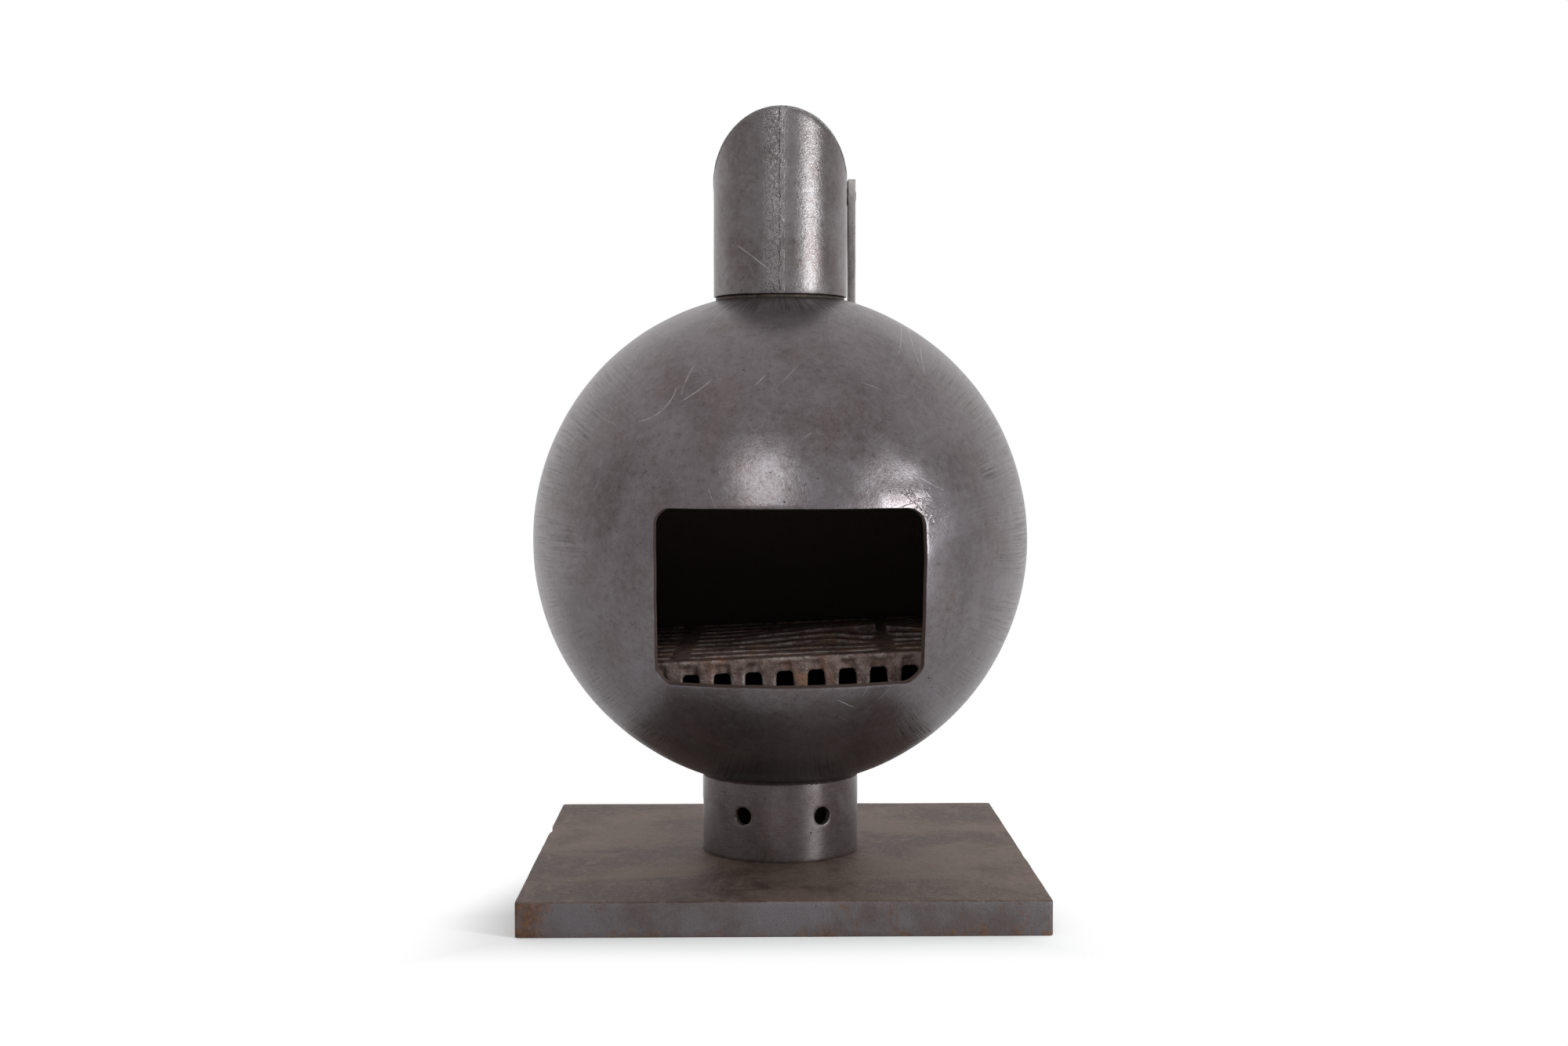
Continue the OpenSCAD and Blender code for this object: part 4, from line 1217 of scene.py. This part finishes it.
grateTop = max(p.z for p in flatGrate)
grateFoot = min(p.z for p in flatGrate)
plateFoot = grateTop - grate["plateThick"]
plateDepth = grateHalfDepth - grate["panelSink"]


def block(low, high, cuts=0, taper=0.0):
    # A box, cut across X, whose lower face is narrower in Y by the taper on each side
    part = cubeBetween(low, high)
    for v in part.verts:
        if v.co.z < (low[2] + high[2]) / 2:
            v.co.y += taper if v.co.y < (low[1] + high[1]) / 2 else -taper
    for count in range(1, cuts + 1):
        cutPlane(part, (low[0] + count * (high[0] - low[0]) / (cuts + 1), 0, 0), (1, 0, 0))
    return part


def bounded(share):
    return min(1, max(0, share))


slotRun = 2 * (grateHalfDepth - grate["rim"]) - grate["slotFoot"]
slotPitch = slotRun / (grate["slots"] - 1)
taper = (grate["slotFoot"] - grate["slotTop"]) / 2
sideInner = grateHalfWidth - grate["sideRim"] - grate["sideSlot"]
middleHalf = sideInner - grate["web"]
overlap = grate["overlap"]
columns = [(-sideInner - grate["sideSlot"], -sideInner), (-middleHalf, middleHalf),
           (sideInner, sideInner + grate["sideSlot"])]
parts = []
for column, (left, right) in enumerate(columns):
    for k, (hump, end) in enumerate(grate["barLifts"]):
        front = -slotRun / 2 + k * slotPitch + grate["slotTop"] / 2
        back = front + slotPitch - grate["slotTop"]
        bar = block((left - overlap, front, plateFoot), (right + overlap, back, grateTop), 24, taper)
        for v in bar.verts:
            share = (v.co.x - left) / (right - left)
            rise = bounded(share / grate["humpShare"])
            fall = bounded((share - grate["humpShare"]) / (1 - grate["humpShare"]))
            if column == 1:
                v.co.z += (hump * rise ** 3 * (4 - 3 * rise)
                           + (end - hump) * fall * fall * (3 - 2 * fall))
            elif column == 2:
                v.co.z += (hump + end) * 0.5 * (0.8 - 0.5 * share)
            v.co.z += grate["barSway"] * 0.8 * bumps(v.co, 0.06, 3 + k)
            v.co.y += grate["barSway"] * bumps(v.co, 0.07, 9 + k)
        parts.append(bar)
for side in (-1, 1):
    def reach(outer, inner):
        # A pair of places on this side, the lower one first
        return sorted((side * outer, side * inner))
    web = reach(sideInner, middleHalf)
    edge = reach(grateHalfWidth, grateHalfWidth - grate["sideRim"])
    rimFrom, rimTo = reach(plateDepth, (slotRun + grate["slotTop"]) / 2)
    lipFrom, lipTo = reach(grateHalfDepth, plateDepth - overlap)
    toothFrom, toothTo = reach(grateHalfDepth, grateHalfDepth - grate["toothThick"])
    half = grate["toothRoot"] / 2
    lipFoot, toothHead = grateTop - grate["lip"], grateTop - grate["lip"] / 2
    parts += [
        block((web[0], 0.01 - plateDepth, plateFoot), (web[1], plateDepth - 0.01, grateTop)),
        block((edge[0], -plateDepth, plateFoot), (edge[1], plateDepth, grateTop)),
        block((-grateHalfWidth, rimFrom, plateFoot), (grateHalfWidth, rimTo, grateTop), 40),
        block((-grateHalfWidth, lipFrom, lipFoot), (grateHalfWidth, lipTo, grateTop), 60)]
    for k in range(grate["toothCount"]):
        x = (k - (grate["toothCount"] - 1) / 2) * grate["toothPitch"]
        parts.append(block((x - half, toothFrom, plateFoot), (x + half, toothTo, toothHead)))
        foot = block((x - half, toothFrom, grateFoot), (x + half, toothTo, plateFoot + 0.002))
        for v in foot.verts:
            if v.co.z < plateFoot - 0.002:
                v.co.x = x + (v.co.x - x) * grate["toothFoot"] / grate["toothRoot"]
        parts.append(foot)
bm = joined(parts, [(0, 0, 0)])
grateDraft = makeObject("fireGrate", bm)
shell = grateDraft.modifiers.new("cast", "REMESH")
shell.mode = "VOXEL"
shell.voxel_size = grate["voxel"]
settle(grateDraft)


def markWear(mesh, reach):
    # How far each point stands out from its neighbours, as a share of the reach
    neighbours = [[] for _ in mesh.vertices]
    for edge in mesh.edges:
        a, b = edge.vertices
        neighbours[a].append(b)
        neighbours[b].append(a)
    values = []
    for v in mesh.vertices:
        near = neighbours[v.index]
        middle = sum((mesh.vertices[n].co for n in near), Vector()) / max(1, len(near))
        values.append((v.co - middle).dot(v.normal) / reach)
    for _ in range(2):
        values = [(value + sum(values[n] for n in near)) / (1 + len(near))
                  for value, near in zip(values, neighbours)]
    wear = mesh.attributes.new("wear", "FLOAT", "POINT")
    wear.data.foreach_set("value", values)


bm = bmesh.new()
bm.from_mesh(grateDraft.data)
bmesh.ops.smooth_vert(bm, verts=bm.verts[:], factor=0.5,
                      use_axis_x=True, use_axis_y=True, use_axis_z=True)
bm.normal_update()
for v in bm.verts:
    chip = max(0, bumps(v.co, 0.011, 5) - 0.25) * grate["chip"]
    worn = abs(v.co.y) > plateDepth - 0.006
    v.co -= v.normal * ((chip if worn else chip * 0.4) + grate["grit"] * bumps(v.co, 0.007, 2)
                        + grate["fineGrit"] * bumps(v.co, 0.0035, 4))
bm.to_mesh(grateDraft.data)
bm.free()
markWear(grateDraft.data, grate["voxel"] * 0.35)
grateDraft.data.transform(Matrix.Translation(ballCentre) @ tilt)
finishPiece(grateDraft, "grate", grateIron, "grate_iron", ["fire_grate"], 180)
print("grate made:", len(grateDraft.data.polygons), "faces")


# Stage: a white floor that keeps the shadow, a white world behind, and two soft lights
stage = {
    "floorSize": 6,
    "floorColour": (0.83, 0.83, 0.83), "seenColour": (0.950, 0.932, 0.932),
    "shadowShift": 0.03, "shadowReach": 0.12,       # the floor glows white beyond the shadow
    "behind": 1.0, "front": 0.40, "above": 0.75, "left": 0.24,      # light of the world's sides
    "lightColour": (0.91, 1.0, 1.0),
    "lights": [
        # name, direction from the ball, distance, width, height, power
        ("frontSoft", (-0.105, -0.860, 0.450), 2.6, 0.38, 0.85, 11.5),
        ("rightSoft", (0.755, -0.605, 0.175), 2.4, 0.38, 0.84, 28),
    ],
}


def whiteShare(finish, behind):
    # The camera sees white everywhere, metal and glass where it lies behind the object
    camera, mirrored, through = [finish.node("ShaderNodeLightPath", output=ray) for ray in
                                 ("Is Camera Ray", "Is Glossy Ray", "Is Transmission Ray")]
    return camera + (mirrored + through) * behind


bm = bmesh.new()
bmesh.ops.create_grid(bm, x_segments=1, y_segments=1, size=stage["floorSize"])
floor = makeObject("floor", bm)
f, shift = Finish("floor"), stage["shadowShift"]
seen = whiteShare(f, f.step(f.y, 0.2, 1.0))
reach = abs(f.x + shift).high(abs(f.y + shift))
# behind the object the shadow ends sooner
reach = reach + (shift - slabHigh.x) + 0.35 * (f.y + 0.2).high(0)
glowing = f.step(reach, 0.0, stage["shadowReach"]) * seen
white = f.blend(glowing, f.blend(seen, stage["floorColour"], stage["seenColour"]), (0, 0, 0))
diffuse = f.node("ShaderNodeBsdfDiffuse", None, {"Color": white})
glow = f.node("ShaderNodeEmission", None, {"Color": (1, 1, 1), "Strength": glowing})
f.end(f.node("ShaderNodeAddShader", None, {0: diffuse, 1: glow}))
floor.data.materials.append(f.material)

world = bpy.data.worlds.new("studio")
world.use_nodes = True
bpy.context.scene.world = world


class WorldFinish(Finish):
    # The same tools for the world, whose places are directions
    def __init__(self, tree):
        self.start(tree, "Generated")


w = WorldFinish(world.node_tree)
back = w.step(w.y, -0.35, 0.75)
up = w.step(w.z, 0.1, 0.95)
level = stage["front"] + (stage["behind"] - stage["front"]) * back
left = stage["left"] * w.step(-w.x, 0.45, 0.92) * w.step(-w.y, -0.05, 0.25)
level = level * (1 - up) + stage["above"] * up + left
seen = whiteShare(w, back * back)
strength = level * (1 - seen) + seen
w.end(w.node("ShaderNodeBackground", None, {"Color": (1, 1, 1), "Strength": strength}),
      "ShaderNodeOutputWorld")

for name, direction, distance, width, height, power in stage["lights"]:
    lamp = bpy.data.lights.new(name, "AREA")
    lamp.shape = "RECTANGLE"
    lamp.size, lamp.size_y = width, height
    lamp.energy = power
    lamp.color = stage["lightColour"]
    source = bpy.data.objects.new(name, lamp)
    source.location = ballCentre + Vector(direction).normalized() * distance
    source.rotation_euler = (source.location - ballCentre).to_track_quat("Z", "Y").to_euler()
    source.visible_camera = False
    bpy.context.scene.collection.objects.link(source)
print("stage made")
